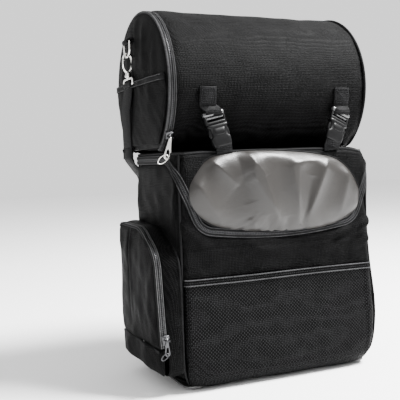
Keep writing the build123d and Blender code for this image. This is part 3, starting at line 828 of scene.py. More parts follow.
# ------------------------------------------------------------------ zips: lips, ribs and teeth
def zip_half(name, path, normals, towards, body, replaces, wide=6.0, lift=0.0, rib_fabric=RIB):
    """One half of a closed zip. towards is 1 or -1: the side of the closing line that it lies on."""
    profile = np.array([(0.35, -2.0), (0.35, 0.4), (1.3, 2.0), (2.6, 2.5), (wide - 1.6, 2.3),
                        (wide + 0.6, 0.9),
                        (wide + 1.0, -1.4)]) * np.array([towards, 1.0]) + np.array([0, lift])
    band = sweep(f"{name}_lip", path, normals, profile, LIP_FABRIC, body, replaces)
    along = tangents(path)
    across = unit(np.cross(normals, along))
    for index, (shift, rise, size) in enumerate(((1.7, 2.3, 1.0), (wide - 0.6, 2.0, 1.2))):
        rib = path + across * shift * towards + normals * (rise + lift)
        wire(f"{name}_rib_{index}", rib, size, rib_fabric, body,
             up=normals.mean(axis=0) + np.array([0.01, 0.02, 0.03]),
             count=6)
    bricks(f"{name}_teeth", path, normals, 2.6, (1.5, 1.7, 1.6), DARK_METAL, body, 0.75 * towards, 0.9 + lift)
    return band


ZIP_END = BACK_SEAM - 6
zip_path, zip_normals = line_path(-ZIP_END, ZIP_END, closing, 0.0, 2.4)
zip_half("main_zip_lower", zip_path, zip_normals, -1, "main_bag", ["main_zip_lower"])
zip_half("main_zip_upper", zip_path, zip_normals, 1, "lid", ["main_zip_upper"])


# ------------------------------------------------------------------ lid
def flap_relief(s, z):
    at = surface(s, z)
    return 1.2 + 0.9 * ripple(at, 40, 61) + 0.4 * ripple(at, 13, 62)


panel("lid_front", (-SEAM, SEAM), lambda s: closing(s) + LIP, constant(TOP - TOP_ROUND), flap_relief, BLACK,
      "lid",
      ["lid_flap"], tuck=(1, 1, 1, 0))


def lid_cover():
    """The lid's top and the narrow sides above the zip, one piece."""
    s = np.linspace(-HALF_ROUND, HALF_ROUND, 420)
    front = np.abs(s) < SEAM
    low = np.where(front, TOP - TOP_ROUND,
                   np.where(np.abs(s) < BACK_SEAM, closing(s) + LIP, TOP - TOP_ROUND + 1))
    rows = [skin(s, low + share * (TOP - TOP_ROUND - low), np.full(len(s), 0.6))[0] for share in (0, 0.5)]
    for turn in np.linspace(0, 0.999, 7):
        rows.append(skin(s, np.full(len(s), TOP - TOP_ROUND + TOP_ROUND * math.sin(turn * math.pi / 2)),
                         np.full(len(s), 0.6))[0])
    rim = rows[-1]
    for share in (0.97, 0.9, 0.8, 0.65, 0.5, 0.3, 0.05):
        row = rim * np.array([share, share, 1.0])
        level = np.clip((1 - share) / 0.2, 0, 1)
        row[:, 2] = (1 - level) * rim[:, 2] + level * (TOP + 0.35) - 0.9 * (1 - share) + 0.5 * ripple(row,
            40, 63)
        row[:, 2] = np.minimum(row[:, 2], ROLL_FLOOR - 0.3)
        rows.append(row)
    points = np.array(rows)
    return make("lid_cover", points, grid_faces(*points.shape[:2]), BLACK, "lid", ["lid_top"], thick=1.0)


lid_cover()
for sign, side in SIDES.items():
    piping(f"lid_seam_{side}", sign * SEAM, float(closing(SEAM)) + LIP, TOP - 2.5, "lid")
rim_path = line_path(-BACK_SEAM, BACK_SEAM, constant(TOP - 2.4), 0.5, 2.5)[0]
wire("lid_rim_piping", rim_path, 3.2, PIPING, "lid", up=(0, 0, 1), count=8)

# ------------------------------------------------------------------ lid's padded oval
PAD_OUTLINE = [(-145, 276), (-141, 294), (-130, 312), (-110, 328), (-80, 335), (-40, 337), (10, 335),
               (60, 330),
               (98, 321), (122, 303), (138, 278), (140, 262), (134, 243), (112, 228), (70, 218), (10, 216),
               (-50, 220), (-98, 229), (-126, 244), (-140, 260)]


def closed_curve(points, per_span=12):
    """A smooth closed line through the given points."""
    points = np.array(points, float)
    share = np.linspace(0, 1, per_span, endpoint=False)[:, None]
    a, b, c, d = (np.roll(points, k, axis=0)[:, None] for k in (1, 0, -1, -2))
    spans = 2 * b + (c - a) * share
    spans = spans + (2 * a - 5 * b + 4 * c - d) * share ** 2 + (3 * b - a - 3 * c + d) * share ** 3
    return 0.5 * spans.reshape(-1, 2)


PAD_RIDGES = [  # (start, end, width, height, width at the end)
    ((-136, 296), (-98, 234), 13, 7.0, 9), ((-114, 328), (-72, 288), 9, 6.0, 14),
              ((-52, 336), (-38, 296), 10, 7.0, 12),
    ((-44, 308), (-2, 222), 15, 11.0, 8), ((18, 324), (26, 224), 15, 10.0, 8),
              ((-30, 335), (18, 322), 12, 5.0, 12),
    ((26, 318), (70, 320), 9, 6.0, 9), ((76, 320), (34, 222), 15, 9.0, 6),
              ((116, 306), (96, 236), 16, 6.5, 12),
    ((-42, 219), (-54, 240), 4, 5.0, 7), ((-70, 334), (-54, 262), 12, -2.6, 12),
              ((10, 218), (8, 240), 4, -6.0, 6),
    ((-18, 219), (-24, 244), 5, -4.0, 8), ((34, 222), (50, 296), 5, -5.0, 10),
]


def settle(piece, sewn, extra, pressure, frames):
    """Inflates a sewn cover by cloth simulation, from a cut larger than its place, and keeps the result."""
    scene = bpy.context.scene
    piece.shape_key_add(name="Basis")
    cut = piece.shape_key_add(name="cut")
    middle_x = sum(v.co.x for v in piece.data.vertices) / len(piece.data.vertices)
    middle_z = sum(v.co.z for v in piece.data.vertices) / len(piece.data.vertices)
    for place in cut.data:
        place.co.x = middle_x + (place.co.x - middle_x) * extra[0]
        place.co.z = middle_z + (place.co.z - middle_z) * extra[1]
    cut.value = 0.0
    group = piece.vertex_groups.new(name="sewn")
    group.add([int(k) for k in sewn], 1.0, "REPLACE")
    modifier = piece.modifiers.new("cloth", "CLOTH")
    cloth = modifier.settings
    cloth.quality = 7
    cloth.mass = 0.25
    cloth.tension_stiffness = cloth.compression_stiffness = 25
    cloth.shear_stiffness = 12
    cloth.bending_stiffness = 1.4
    cloth.vertex_group_mass = "sewn"
    cloth.rest_shape_key = cut
    cloth.use_pressure = True
    cloth.uniform_pressure_force = pressure
    cloth.effector_weights.gravity = 0.0
    modifier.point_cache.frame_start, modifier.point_cache.frame_end = 1, frames
    for frame_number in range(1, frames + 1):
        scene.frame_set(frame_number)
    shaped = bpy.data.meshes.new_from_object(piece.evaluated_get(bpy.context.evaluated_depsgraph_get()))
    piece.modifiers.clear()
    piece.shape_key_clear()
    piece.data = shaped
    scene.frame_set(1)


def pad():
    outline = closed_curve(PAD_OUTLINE)
    middle_point = np.array([-2.0, 276.0])
    share = np.concatenate([np.linspace(0.03, 0.90, 44), np.linspace(0.912, 1.0, 10)])
    at = middle_point + share[:, None, None] * (outline - middle_point)[None]
    edge = np.linalg.norm(outline - middle_point, axis=1)[None] * (1 - share[:, None])
    out = 9.5 * swell(edge, 9.0) + 3.0 * np.cos(np.clip(share, 0, 1) * math.pi / 2)[:, None]
    out += folds(at, PAD_RIDGES, ease=0.55, power=1.2) * swell(edge, 7.0)
    turn = np.arctan2(outline[:, 1] - middle_point[1], outline[:, 0] - middle_point[0])
    gathers = ripple(np.stack([np.cos(turn) * 140, np.sin(turn) * 60], axis=-1), 8,
                     71)[None] * np.exp(-edge / 14.0)
    out += 1.6 * gathers * np.clip((middle_point[1] - at[..., 1]) / 40, 0.25, 1) * swell(edge, 2.0)
    points, _ = skin(at[..., 0], np.minimum(at[..., 1], TOP - TOP_ROUND - 0.1), out)
    points[..., 2] = points[..., 2] + np.clip(at[..., 1] - (TOP - TOP_ROUND - 0.1), 0, None)
    rows, columns = at.shape[:2]
    points = np.vstack([points.reshape(-1, 3), points[0].mean(axis=0)[None]])
    faces = grid_faces(rows, columns, wrap_columns=True).tolist()
    faces += [[rows * columns, (k + 1) % columns, k] for k in range(columns)]
    piece = make("lid_pad_cover", points, faces, VINYL, "lid", ["lid_pad"])
    settle(piece, range((rows - 1) * columns, rows * columns), (1.015, 1.03), PAD_PRESSURE, 9)
    for vertex in piece.data.vertices:
        vertex.co.y = min(max(vertex.co.y, (-HALF_D - 19) * MM), (-HALF_D + 1.0) * MM)
    piece.data.polygons.foreach_set("use_smooth", [True] * len(piece.data.polygons))
    modifier = piece.modifiers.new("cover_thickness", "SOLIDIFY")
    modifier.thickness, modifier.offset = 0.0012, -1
    seam, _ = skin(outline[:, 0], np.minimum(outline[:, 1], TOP - TOP_ROUND), np.full(len(outline), 0.9))
    seam[:, 2] = seam[:, 2] + np.clip(outline[:, 1] - (TOP - TOP_ROUND), 0, None)
    wire("lid_pad_piping", seam, 2.4, PIPING, "lid", closed=True, up=(0, 1, 0.1), count=8)


PAD_PRESSURE = 1.6
pad()


# ------------------------------------------------------------------ roll bag
def section(angle, radius, floor=None):
    """The roll's section at an angle from +Y, with its bottom pressed flat: (y, z)."""
    y, z = ROLL_Y + radius * np.cos(angle), ROLL_Z + radius * np.sin(angle)
    above = z - (ROLL_FLOOR if floor is None else floor)
    return y, (ROLL_FLOOR if floor is None else floor) + (above + np.sqrt(above ** 2 + 36)) / 2


ROLL_FOLDS = [  # along x, and round the barrel at 90 mm a radian
    ((-150, 351), (-90, 297), 9, 2.4), ((-150, 243), (-60, 207), 11, 1.8), ((156, 342), (84, 288), 9, 2.6),
    ((156, 216), (70, 261), 12, 1.8), ((-150, 162), (-20, 153), 14, 1.6), ((156, 369), (20, 360), 8, 2.0),
]


def roll_shell():
    """The barrel, closed round its whole section and open at both ends."""
    x = np.linspace(-152.5, 158.5, 140)
    angle = np.linspace(0, TAU, 260, endpoint=False)
    x, angle = np.meshgrid(x, angle, indexing="ij")
    at = np.stack([x, angle * 90], axis=-1)
    around = np.stack([x, 90 * np.cos(angle), 90 * np.sin(angle)], axis=-1)
    out = -0.6 + 1.1 * ripple(around, 60, 81) + 0.35 * ripple(around, 20, 82)
    out = out + folds(at, ROLL_FOLDS, spread=1.5)
    out = out - 1.6 * np.exp(-((x + 152.5) / 5) ** 2) - 1.6 * np.exp(-((158.5 - x) / 5) ** 2)
    y, z = section(angle, ROLL_R + out)
    points = np.stack([x, y, z], axis=-1)
    return make("roll_shell", points, grid_faces(*x.shape, wrap_columns=True), BLACK, "roll",
                ["roll_wrap", "roll_base"],
                thick=-1.2)


roll_shell()


CAP_FOLDS = [
    ((10, 520), (4, 400), 8, 2.6), ((44, 534), (40, 420), 9, 2.0), ((-30, 490), (-24, 400), 8, 2.2),
    ((84, 505), (74, 380), 9, 2.2), ((112, 470), (100, 390), 8, 1.8), ((20, 350), (26, 430), 9, 1.6),
]


def disc(name, sign, floor, face_x, body, replaces, seed, puff=3.5):
    """A puffed round end of the roll."""
    share = np.concatenate([np.linspace(0.02, 0.9, 40), np.linspace(0.915, 1.0, 14)])
    angle = np.linspace(0, TAU, 180, endpoint=False)
    y, z = section(angle, ROLL_R - 0.8, floor)
    middle_y, middle_z = ROLL_Y, ROLL_Z - 2
    at = np.stack([middle_y + share[:, None] * (y - middle_y), middle_z + share[:, None] * (z - middle_z)],
                  axis=-1)
    out = face_x - 5.5 + 5.5 * np.sqrt(np.clip(1 - share ** 16, 0, 1))[:,
        None] + puff * (1 - share ** 2.5)[:, None]
    strength = (1 - share ** 12)[:, None]
    out = out + folds(at, CAP_FOLDS) * strength
    out = out + 0.9 * ripple(at, 40, seed) * strength + 0.3 * ripple(at, 14, seed + 1) * strength
    points = np.stack([sign * out, at[..., 0], at[..., 1]], axis=-1)
    rows, columns = at.shape[:2]
    points = np.vstack([points.reshape(-1, 3), points[0].mean(axis=0)[None]])
    faces = grid_faces(rows, columns, wrap_columns=True).tolist() + [[rows * columns, (k + 1) % columns,
        k] for k in range(columns)]
    make(name, points, faces, BLACK, body, replaces, thick=1.2, offset=-sign)


DOOR_FLOOR = node_box("roll_end_left")[0][2]
disc("roll_cap_left", -1, DOOR_FLOOR + 0.5, ROLL_HALF, "roll_door", ["roll_end_left"], 91)
disc("roll_cap_right", 1, ROLL_FLOOR, ROLL_HALF, "roll", ["roll_end_right"], 95)


def round_path(x, radius, low, high, floor=None, step=2.4):
    angle = np.linspace(low, high, int(abs(high - low) * radius / step) + 2)
    y, z = section(angle, radius, floor)
    path = np.stack([np.full(len(angle), float(x)), y, z], axis=-1)
    along = tangents(path)
    return path, unit(np.cross(along, [-1.0, 0.0, 0.0]))


zip_low, zip_high = math.radians(-56), math.radians(236)
path, normals = round_path(-ZIP_X, ROLL_R - 1.4, zip_low, zip_high)
if normals[len(normals) // 2][2] < 0:
    normals = -normals
zip_half("roll_zip_inner", path, normals, 1, "roll", ["roll_zip_inner"], wide=5.2)
zip_half("roll_zip_outer", path, normals, -1, "roll_door", ["roll_zip_outer"], wide=4.4)
path, normals = round_path(ROLL_HALF - 3.0, ROLL_R + 0.2, 0, TAU)
wire("roll_right_piping", path[:-1], 3.6, PIPING, "roll", closed=True, up=(1, 0, 0), count=8)
path, normals = round_path(-ROLL_HALF + 1.6, ROLL_R - 0.4, zip_low, zip_high)
wire("roll_left_piping", path, 3.2, TRIM, "roll_door", up=(1, 0, 0), count=8)


def cap_pocket():
    low, high = node_box("cap_pocket")[0][2] - 2, node_box("cap_pocket")[1][2]
    z = np.linspace(low, high, 50)
    u = np.linspace(-1, 1, 90)
    u, z = np.meshgrid(u, z)
    half = np.sqrt(np.clip((ROLL_R - 6) ** 2 - (z - ROLL_Z) ** 2, 1, None))
    y = ROLL_Y + u * half
    at = np.stack([y, z], axis=-1)
    rim = half * (1 - np.abs(u))
    share = np.clip(np.hypot(y - ROLL_Y, z - ROLL_Z) / ROLL_R, 0, 1)
    out = ROLL_HALF + 3.5 * (1 - share ** 2.5) + 2.4 * swell(rim, 5) + 1.0
    out = out + 1.2 * np.exp(-((high - z) / 14) ** 2) + 0.9 * ripple(at, 36, 101) + 0.3 * ripple(at, 12, 102)
    out = out + folds(at, [((20, 446), (10, 380), 8, 2.4), ((70, 446), (60, 370), 9, 2.0),
                           ((-20, 440), (-10, 380), 8, 1.6)], spread=1.3)
    out = out - 1.6 * np.clip((ROLL_Z - 60 - z) / 22, 0, 1) ** 2
    points = np.stack([-out, y, z], axis=-1)
    make("cap_pocket_cover", points, grid_faces(*z.shape), BLACK, "roll_door", ["cap_pocket"], thick=1.0,
         offset=1)
    top = points[-1] + np.array([-0.6, 0, -3.5])
    sweep("cap_pocket_hem", top, np.array([-1.0, 0, 0]), flat_profile(9, 1.8), LIP_FABRIC, "roll_door")
    for index, drop in enumerate((0.6, 7.4)):
        wire(f"cap_pocket_trim_{index}", points[-1][3:-3] + np.array([-1.8, 0, -drop]), 1.2, RIB,
             "roll_door", up=(-1, 0, 0.1), count=6)


cap_pocket()


# ------------------------------------------------------------------ side pockets
POCKET_LOW, POCKET_TOP = node_box("pocket_gusset_left")[0][2], 232.1
POCKET_BACK, POCKET_MIDDLE = 86.0, -2.0
POCKET_FRONT = {-1: -92.0, 1: -66.0}
POCKET_RADII = [14, 44, 60, 16, 12]
DOOR_LOW = node_box("pocket_face_left")[0][2]
POCKET_FACE = {-1: -node_box("pocket_face_left")[0][0], 1: node_box("pocket_face_right")[1][0]}
POCKET_ZIP = {-1: -node_box("pocket_zip_outer_left")[1][0], 1: node_box("pocket_zip_outer_right")[0][0]}


def pocket_rim_path(front, step=2.4, lean=4.0):
    """A side pocket's outline, from its bottom round by the front, in (y, z). The front edge leans back."""
    low = POCKET_LOW
    corners = [(20, low), (front, low), (front + lean, 196), (front + 78, 230), (POCKET_BACK, 232),
               (POCKET_BACK, low), (20, low)]
    return filleted(corners, POCKET_RADII, step)


def rim_in_space(rim, x):
    """The outline at one distance out, with its outward normals."""
    path = np.stack([np.full(len(rim), float(x)), rim[:, 0], rim[:, 1]], axis=-1)
    along = tangents(path, closed=False)
    normals = unit(np.cross(along, [1.0, 0.0, 0.0]))
    if (normals * (path - path.mean(axis=0))).sum() < 0:
        normals = -normals
    return path, normals


POCKET_FOLDS = [
    ((-80, 200), (-36, 120), 8, 2.2), ((20, 222), (22, 90), 5, 2.4), ((27, 222), (30, 90), 4, -2.6),
    ((70, 210), (40, 130), 9, 2.0), ((-84, 84), (-40, 130), 8, 1.8),
]


def pocket(sign):
    """One side pocket: its gusset, zip, face, foot, piping, hem and stitching."""
    side = SIDES[sign]
    pocket_x, pocket_zip_x = POCKET_FACE[sign], POCKET_ZIP[sign]
    rim = pocket_rim_path(POCKET_FRONT[sign], lean=20.0)[:-1]
    sewn = pocket_rim_path(POCKET_FRONT[sign], step=0.5)
    sewn = np.stack([np.interp(np.linspace(0, len(sewn) - 1, len(rim) + 1), np.arange(len(sewn)), sewn[:, k])
                     for k in (0, 1)], axis=1)[:-1]
    path, normals = rim_in_space(rim, 0)
    sewn_path, _ = rim_in_space(sewn, 0)
    inner_x, outer_x = HALF_W + 0.5, pocket_zip_x - 5.6
    rows = []
    for share in np.linspace(0, 1, 14):
        x = inner_x + share * (outer_x - inner_x)
        base = path * share ** 0.7 + sewn_path * (1 - share ** 0.7) + np.array([sign * x, 0, 0])
        soft = 2.0 * math.sin(share * math.pi) + 0.8 * ripple(base, 34, 110 + sign)
        soft = soft + 1.1 * np.sin(np.arange(len(rim)) * 0.11 + sign) * math.sin(share * math.pi)
        soft = soft - 1.2 * math.exp(-share * 18)
        rows.append(base + normals * soft[:, None])
    points = np.array(rows)
    make(f"pocket_gusset_{side}_cloth", points, grid_faces(*points.shape[:2], wrap_columns=True), BLACK,
         "main_bag",
         [f"pocket_gusset_{side}"], thick=1.0 * sign)
    seam = points[0] + normals * 0.6
    wire(f"pocket_base_seam_{side}", seam, 3.0, PIPING, "main_bag", closed=True, up=(1, 0, 0), count=8)
    open_part = (rim[:, 1] > DOOR_LOW) & (rim[:, 0] < POCKET_BACK - 6)
    order = np.where(open_part)[0]
    line, line_normals = rim_in_space(rim[order], sign * pocket_zip_x)
    towards = 1 if (np.cross(line_normals[10], tangents(line)[10])[0] * sign) > 0 else -1
    # The pocket zips' ribs take the lighter rib fabric: painted highlight along the arch.
    zip_half(f"pocket_zip_outer_{side}", line, line_normals, towards, f"pocket_door_{side}",
             [f"pocket_zip_outer_{side}"], wide=4.6, lift=-1.0, rib_fabric=RIB_PAINTED_HIGHLIGHT)
    zip_half(f"pocket_zip_inner_{side}", line, line_normals, -towards, "main_bag",
             [f"pocket_zip_inner_{side}"], wide=4.6, lift=-1.0, rib_fabric=RIB_PAINTED_HIGHLIGHT)

    def face(name, low, high, body, replaces, seed):
        """Part of the pocket's outer face between two heights, puffed and pleated."""
        z = np.linspace(low, high, max(int((high - low) / 2.4), 6))
        front, back = (np.interp(z, *edge_line(rim, is_front)) for is_front in (True, False))
        u = np.linspace(0, 1, 84)
        y = front[:, None] + u[None] * (back - front)[:, None]
        zz = np.broadcast_to(z[:, None], y.shape)
        at = np.stack([y, zz], axis=-1)
        edge = np.minimum(y - front[:, None], back[:, None] - y)
        edge = np.minimum(edge, np.clip(231 - zz, 0, None) * 1.4)
        edge = np.minimum(edge, np.clip(zz - POCKET_LOW, 0, None) * 1.6 + 0.4)
        out = pocket_x - 3.2 + 4.2 * swell(edge, 6.0) + 3.6 * swell(edge, 38)
        out = out + 1.4 * ripple(at, 46, seed) + 0.4 * ripple(at, 15, seed + 1)
        out = out + folds(at, POCKET_FOLDS, ease=0.5) * (1 - np.exp(-edge / 8))
        out = out - 1.5 * np.exp(-((zz - DOOR_LOW) / 3.5) ** 2)
        points = np.stack([sign * out, y, zz], axis=-1)
        make(name, points, grid_faces(*y.shape), BLACK, body, replaces, thick=1.2, offset=-sign)

    face(f"pocket_face_{side}_cloth", DOOR_LOW, 231.2, f"pocket_door_{side}", [f"pocket_face_{side}"],
         121 + sign)
    face(f"pocket_foot_{side}_cloth", POCKET_LOW + 0.6, DOOR_LOW - 0.6, "main_bag", [], 131 + sign)
    edge_path, edge_normals = rim_in_space(rim[order], sign * (pocket_x - 2.6))
    wire(f"pocket_face_piping_{side}", edge_path + edge_normals * 0.2, 2.8, PIPING, f"pocket_door_{side}",
         up=(1, 0, 0), count=8)
    hem_y = np.linspace(POCKET_FRONT[sign] + 6, 74, 60)
    hem = np.stack([np.full(60, sign * (pocket_x + 0.8)), hem_y, np.full(60, DOOR_LOW - 3.0)], axis=-1)
    sweep(f"pocket_hem_{side}", hem, facing(sign), flat_profile(4.0, 1.2), LIP_FABRIC, "main_bag")
    hem[:, 2] = DOOR_LOW + 4
    stitches(f"pocket_stitching_{side}", hem, facing(sign), f"pocket_door_{side}")


def edge_line(rim, front):
    """The outline's front or back edge as (heights, y), rising."""
    part = rim[(rim[:, 0] < POCKET_MIDDLE) == front]
    part = part[np.argsort(part[:, 1], kind="stable")]
    heights, places = [], []
    for height in np.arange(POCKET_LOW, POCKET_TOP, 1.0):
        near = part[np.abs(part[:, 1] - height) < 3.0, 0]
        if len(near):
            heights.append(height)
            places.append(near.min() if front else near.max())
    return np.array(heights), np.array(places)


pocket(-1)
pocket(1)


# ------------------------------------------------------------------ zip sliders and pulls
def slider(name, plane, body, node, metal):
    """A moulded two-plate slider with its bridge, bar and rivet, on a plane whose x runs across the zip."""
    stations = [(-7.0, 2.6, 1.5), (-6.2, 3.8, 2.1), (-1, 4.6, 2.4), (4.4, 5.6, 2.4), (6.3, 5.2, 2.1),
                (6.9, 4.4, 1.4)]
    raised = Plane(plane.at([0, 0, 2.6]), plane.x, plane.z)
    loft(f"{name}_body", raised, stations, metal, body, [node], power=0.6)
    box(f"{name}_crown", raised, (0, 0.4, 2.8), (4.4, 8.6, 1.6), metal, body, edge=0.6)
    arch = np.array([(0, -4.6, 1.6), (0, -4.2, 4.4), (0, -1.5, 6.6), (0, 1.5, 6.6), (0, 4.2, 4.4),
                     (0, 4.6, 1.6)])
    arch = resample(arch, 0.8)
    sweep(f"{name}_bridge", raised.at(arch), raised.x, flat_profile(1.3, 3.0), metal, body)
    wire(f"{name}_bar", raised.at([(-3.9, 0, 5.4), (0, 0, 5.4), (3.9, 0, 5.4)]), 1.8, metal, body)
    for shift in (-3.9, 3.9):
        box(f"{name}_ear_{'a' if shift < 0 else 'b'}", raised, (shift, 0, 3.9), (1.2, 3.2, 4.4), metal,
            body, edge=0.5)
    wire(f"{name}_rivet", raised.at([(0, 3.0, 3.4), (0, 3.0, 4.4)]), 3.0, METAL, body, up=(0.3, 0.5, 0.2),
         count=14)


def arc_points(centre, radius, start, end, count, squeeze=1.0):
    angles = np.radians(np.linspace(start, end, count))
    return np.stack([centre[0] + radius * np.cos(angles) * squeeze, centre[1] + radius * np.sin(angles)],
                    axis=1)


def pull(name, plane, length, width, body, node, metal=None, loop=8.5):
    """A flared plate with a long eye near its end, hung from the slider's bar by a small neck."""
    metal = metal or METAL
    half = width / 2
    outline = np.vstack([[(1.9, -1.0), (2.1, -6.0)], [(half, -length + half + 1)],
                         arc_points((0, -length + half), half, 0, -180, 17),
                         [(-half, -length + half + 1), (-2.1, -6.0), (-1.9, -1.0)],
                         arc_points((0, -1.0), 1.9, 180, 0, 9)[1:-1]])
    eye = np.vstack([arc_points((0, -length + half + 0.4), half * 0.54, 0, -180, 13),
                     arc_points((0, -length + half + 7.5), half * 0.42, 180, 0, 13)])
    plate(f"{name}_plate", plane, outline, eye, 1.6, metal, body, [node])
    neck = [(0, 2.0, 0.0)] + [(0, 2.0 * math.cos(a),
                               2.0 * math.sin(a)) for a in np.radians(range(30, 360, 30))]
    wire(f"{name}_neck", plane.at(np.array(neck)), 1.6, metal, body, closed=True, up=tuple(plane.x))
    if loop:
        ring = arc_points((0, 0), loop, 0, 345, 24, squeeze=0.52)
        turn = math.radians(-42)
        ring = np.stack([ring[:, 0] * math.cos(turn) - ring[:, 1] * math.sin(turn),
                         ring[:, 0] * math.sin(turn) + ring[:, 1] * math.cos(turn)], axis=1)
        ring = ring + np.array([-loop * 0.62, -length + half - loop * 0.62])
        ring = np.column_stack([ring, np.sin(np.radians(np.linspace(0, 345, 24))) * 1.6])
        wire(f"{name}_loop", plane.at(ring), 1.4, metal, body, closed=True, up=tuple(plane.z))


SLIDER_ANGLE = math.radians(218.0)
out_dir = np.array([0, math.cos(SLIDER_ANGLE), math.sin(SLIDER_ANGLE)])
slider_plane = Plane(np.array([-ZIP_X, ROLL_Y, ROLL_Z]) + out_dir * ROLL_R, (1, 0, 0), out_dir)
slider("roll_slider", slider_plane, "roll_slider", "roll_slider", DARK_METAL)
lean = math.radians(12.0)
pull_at = slider_plane.origin + out_dir * 8.5
pull("roll_pull", Plane(pull_at, (math.cos(lean), 0, -math.sin(lean)), (0, -1, 0)), 31, 10.5, "roll_pull",
     "roll_pull")
main_plane = Plane((HALF_W, 62, SIDE_LINE_Z), (0, 1, 0), (1, 0, 0))
slider("main_slider", main_plane, "main_slider", "main_slider", DARK_METAL)
pull("main_pull", Plane((HALF_W + 8.5, 62, SIDE_LINE_Z), (0, 1, 0), (1, 0, 0)), 32, 8, "main_pull",
     "main_pull", loop=0)
for sign, side in SIDES.items():
    place = node_box(f"pocket_slider_{side}")
    centre = (place[0] + place[1]) / 2
    pocket_plane = Plane((sign * POCKET_ZIP[sign], POCKET_FRONT[sign] - 0.4, centre[2]), (1, 0, 0),
                         (0, -1, 0))
    slider(f"pocket_slider_{side}", pocket_plane, f"pocket_slider_{side}", f"pocket_slider_{side}",
           DARK_METAL)
    pull(f"pocket_pull_{side}", Plane(pocket_plane.origin + np.array([0, -8.5, 0]), (1, 0, 0), (0, -1, 0)),
         21, 7.5,
         f"pocket_pull_{side}", f"pocket_pull_{side}", DARK_METAL, loop=6.0)


# ------------------------------------------------------------------ rings, hooks, gates and eyes
RING_WIRE, HOOK_WIRE, GATE_WIRE, EYE_WIRE = 4.0, 4.2, 3.2, 3.6
EYE_TOP, STEM_TOP = 452.6, 461.4
OUT_X = (1, 0, 0)


def loop_outline(middle, half, high, low, radii):
    """A closed loop with rounded corners in (y, z), from its top's middle."""
    near, far = middle - half, middle + half
    corners = [(middle, high), (far, high), (far, low), (near, low), (near, high), (middle, high)]
    return filleted(corners, radii, 1.2)[:-1]


def upright(x, outline):
    """Points in (y, z), all at one x."""
    return np.column_stack([np.full(len(outline), x), outline])


def hang_strap(sign, side):
    """The ring on its stitched tab, and the snap hook with its gate and the eye that holds the strap."""
    holder = "roll_door" if sign < 0 else "roll"
    ring_low, ring_high = node_box(f"ring_{side}")
    x, middle_y = (ring_low[:2] + ring_high[:2]) / 2
    half = (ring_high[1] - ring_low[1] - RING_WIRE) / 2
    top, bottom = ring_high[2] - RING_WIRE / 2, ring_low[2] + RING_WIRE / 2
    ring = loop_outline(middle_y, half, top, bottom, [2.5, 11.5, 11.5, 2.5])
    wire(f"ring_{side}_wire", upright(x, ring), RING_WIRE, METAL, f"ring_{side}", [f"ring_{side}"], True,
         OUT_X, 12)
    middle_z, reach, wide = node_box(f"hook_{side}")[1][2] - 16, 14.2, 7.4
    turn = np.linspace(0.50, TAU - 0.64, 60)  # open on its outer side, where the gate closes it
    oval = np.column_stack([x + sign * wide * np.cos(turn), np.full(60, middle_y),
                            middle_z + reach * np.sin(turn)])
    wire(f"hook_{side}_oval", oval, HOOK_WIRE, METAL, f"hook_{side}", [f"hook_{side}"], up=(0, 1, 0),
         count=12)
    collar = [(455, 4.2), (455.6, 5), (458, 5), (459.4, 4.0), (461.6, 4.4), (462.8, 3.0)]
    loft(f"hook_{side}_collar", Plane((x, middle_y, 0), OUT_X, (0, -1, 0)), [(z, r, r) for z, r in collar],
         METAL,
         f"hook_{side}", power=1.0)
    gate_low, gate_high = node_box(f"hook_gate_{side}")
    gate_x, gate_y = ((gate_low + gate_high) / 2)[:2]
    arm = [(gate_x - sign * 0.4, gate_y, gate_low[2] - 0.2), (gate_x + sign * 0.2, gate_y, middle_z),
           (gate_x - sign * 0.4, gate_y, gate_high[2] + 0.2)]
    wire(f"hook_gate_{side}_arm", np.array(arm), GATE_WIRE, METAL, f"hook_gate_{side}", [f"hook_gate_{side}"],
         up=(0, 1, 0), count=12)
    eye_from, eye_to = node_box(f"hook_eye_{side}")
    eye = loop_outline(middle_y, (eye_to[1] - eye_from[1] - EYE_WIRE) / 2, EYE_TOP,
                       eye_from[2] + EYE_WIRE / 2,
                       [6.0, 2.5, 2.5, 6.0])
    wire(f"hook_eye_{side}_wire", upright(x, eye), EYE_WIRE, METAL, holder, [f"hook_eye_{side}"], True,
         OUT_X, 12)
    stem = np.array([(x, middle_y, z) for z in (EYE_TOP, 457, STEM_TOP)])
    wire(f"hook_eye_{side}_stem", stem, 4.6, METAL, holder, up=(0, 1, 0), count=12)
    face_x, ring_x = sign * ROLL_HALF, x
    tab = [(face_x + sign * 2.2, 20), (face_x + sign * 2.4, 4), (face_x + sign * 5.5, 4.4),
           (ring_x + sign * 3.6, 3.2),
           (ring_x + sign * 3.6, -3.4), (ring_x - sign * 3.4, -3.4), (ring_x - sign * 3.6, 1.4),
           (face_x + sign * 3.2, 1.6)]
    tab = [(at_x, middle_y, top + rise) for at_x, rise in tab]
    tab = resample(filleted(tab, [2, 2, 3, 3, 3, 3], 1.0), 1.0)
    sweep(f"ring_tab_{side}_web", tab, unit(np.cross(tangents(tab), [0.0, 1.0, 0.0])),
          flat_profile(23, 1.9), WEBBING,
          holder, [f"ring_tab_{side}"])
    for index, drop in enumerate((16, 8)):
        line = np.array([(sign * (ROLL_HALF + 3.6), middle_y + end, top + drop) for end in (-9, 9)])
        stitches(f"ring_tab_{side}_stitching_{index}", resample(line, 2.0), facing(sign), holder)


for sign, side in SIDES.items():
    hang_strap(sign, side)


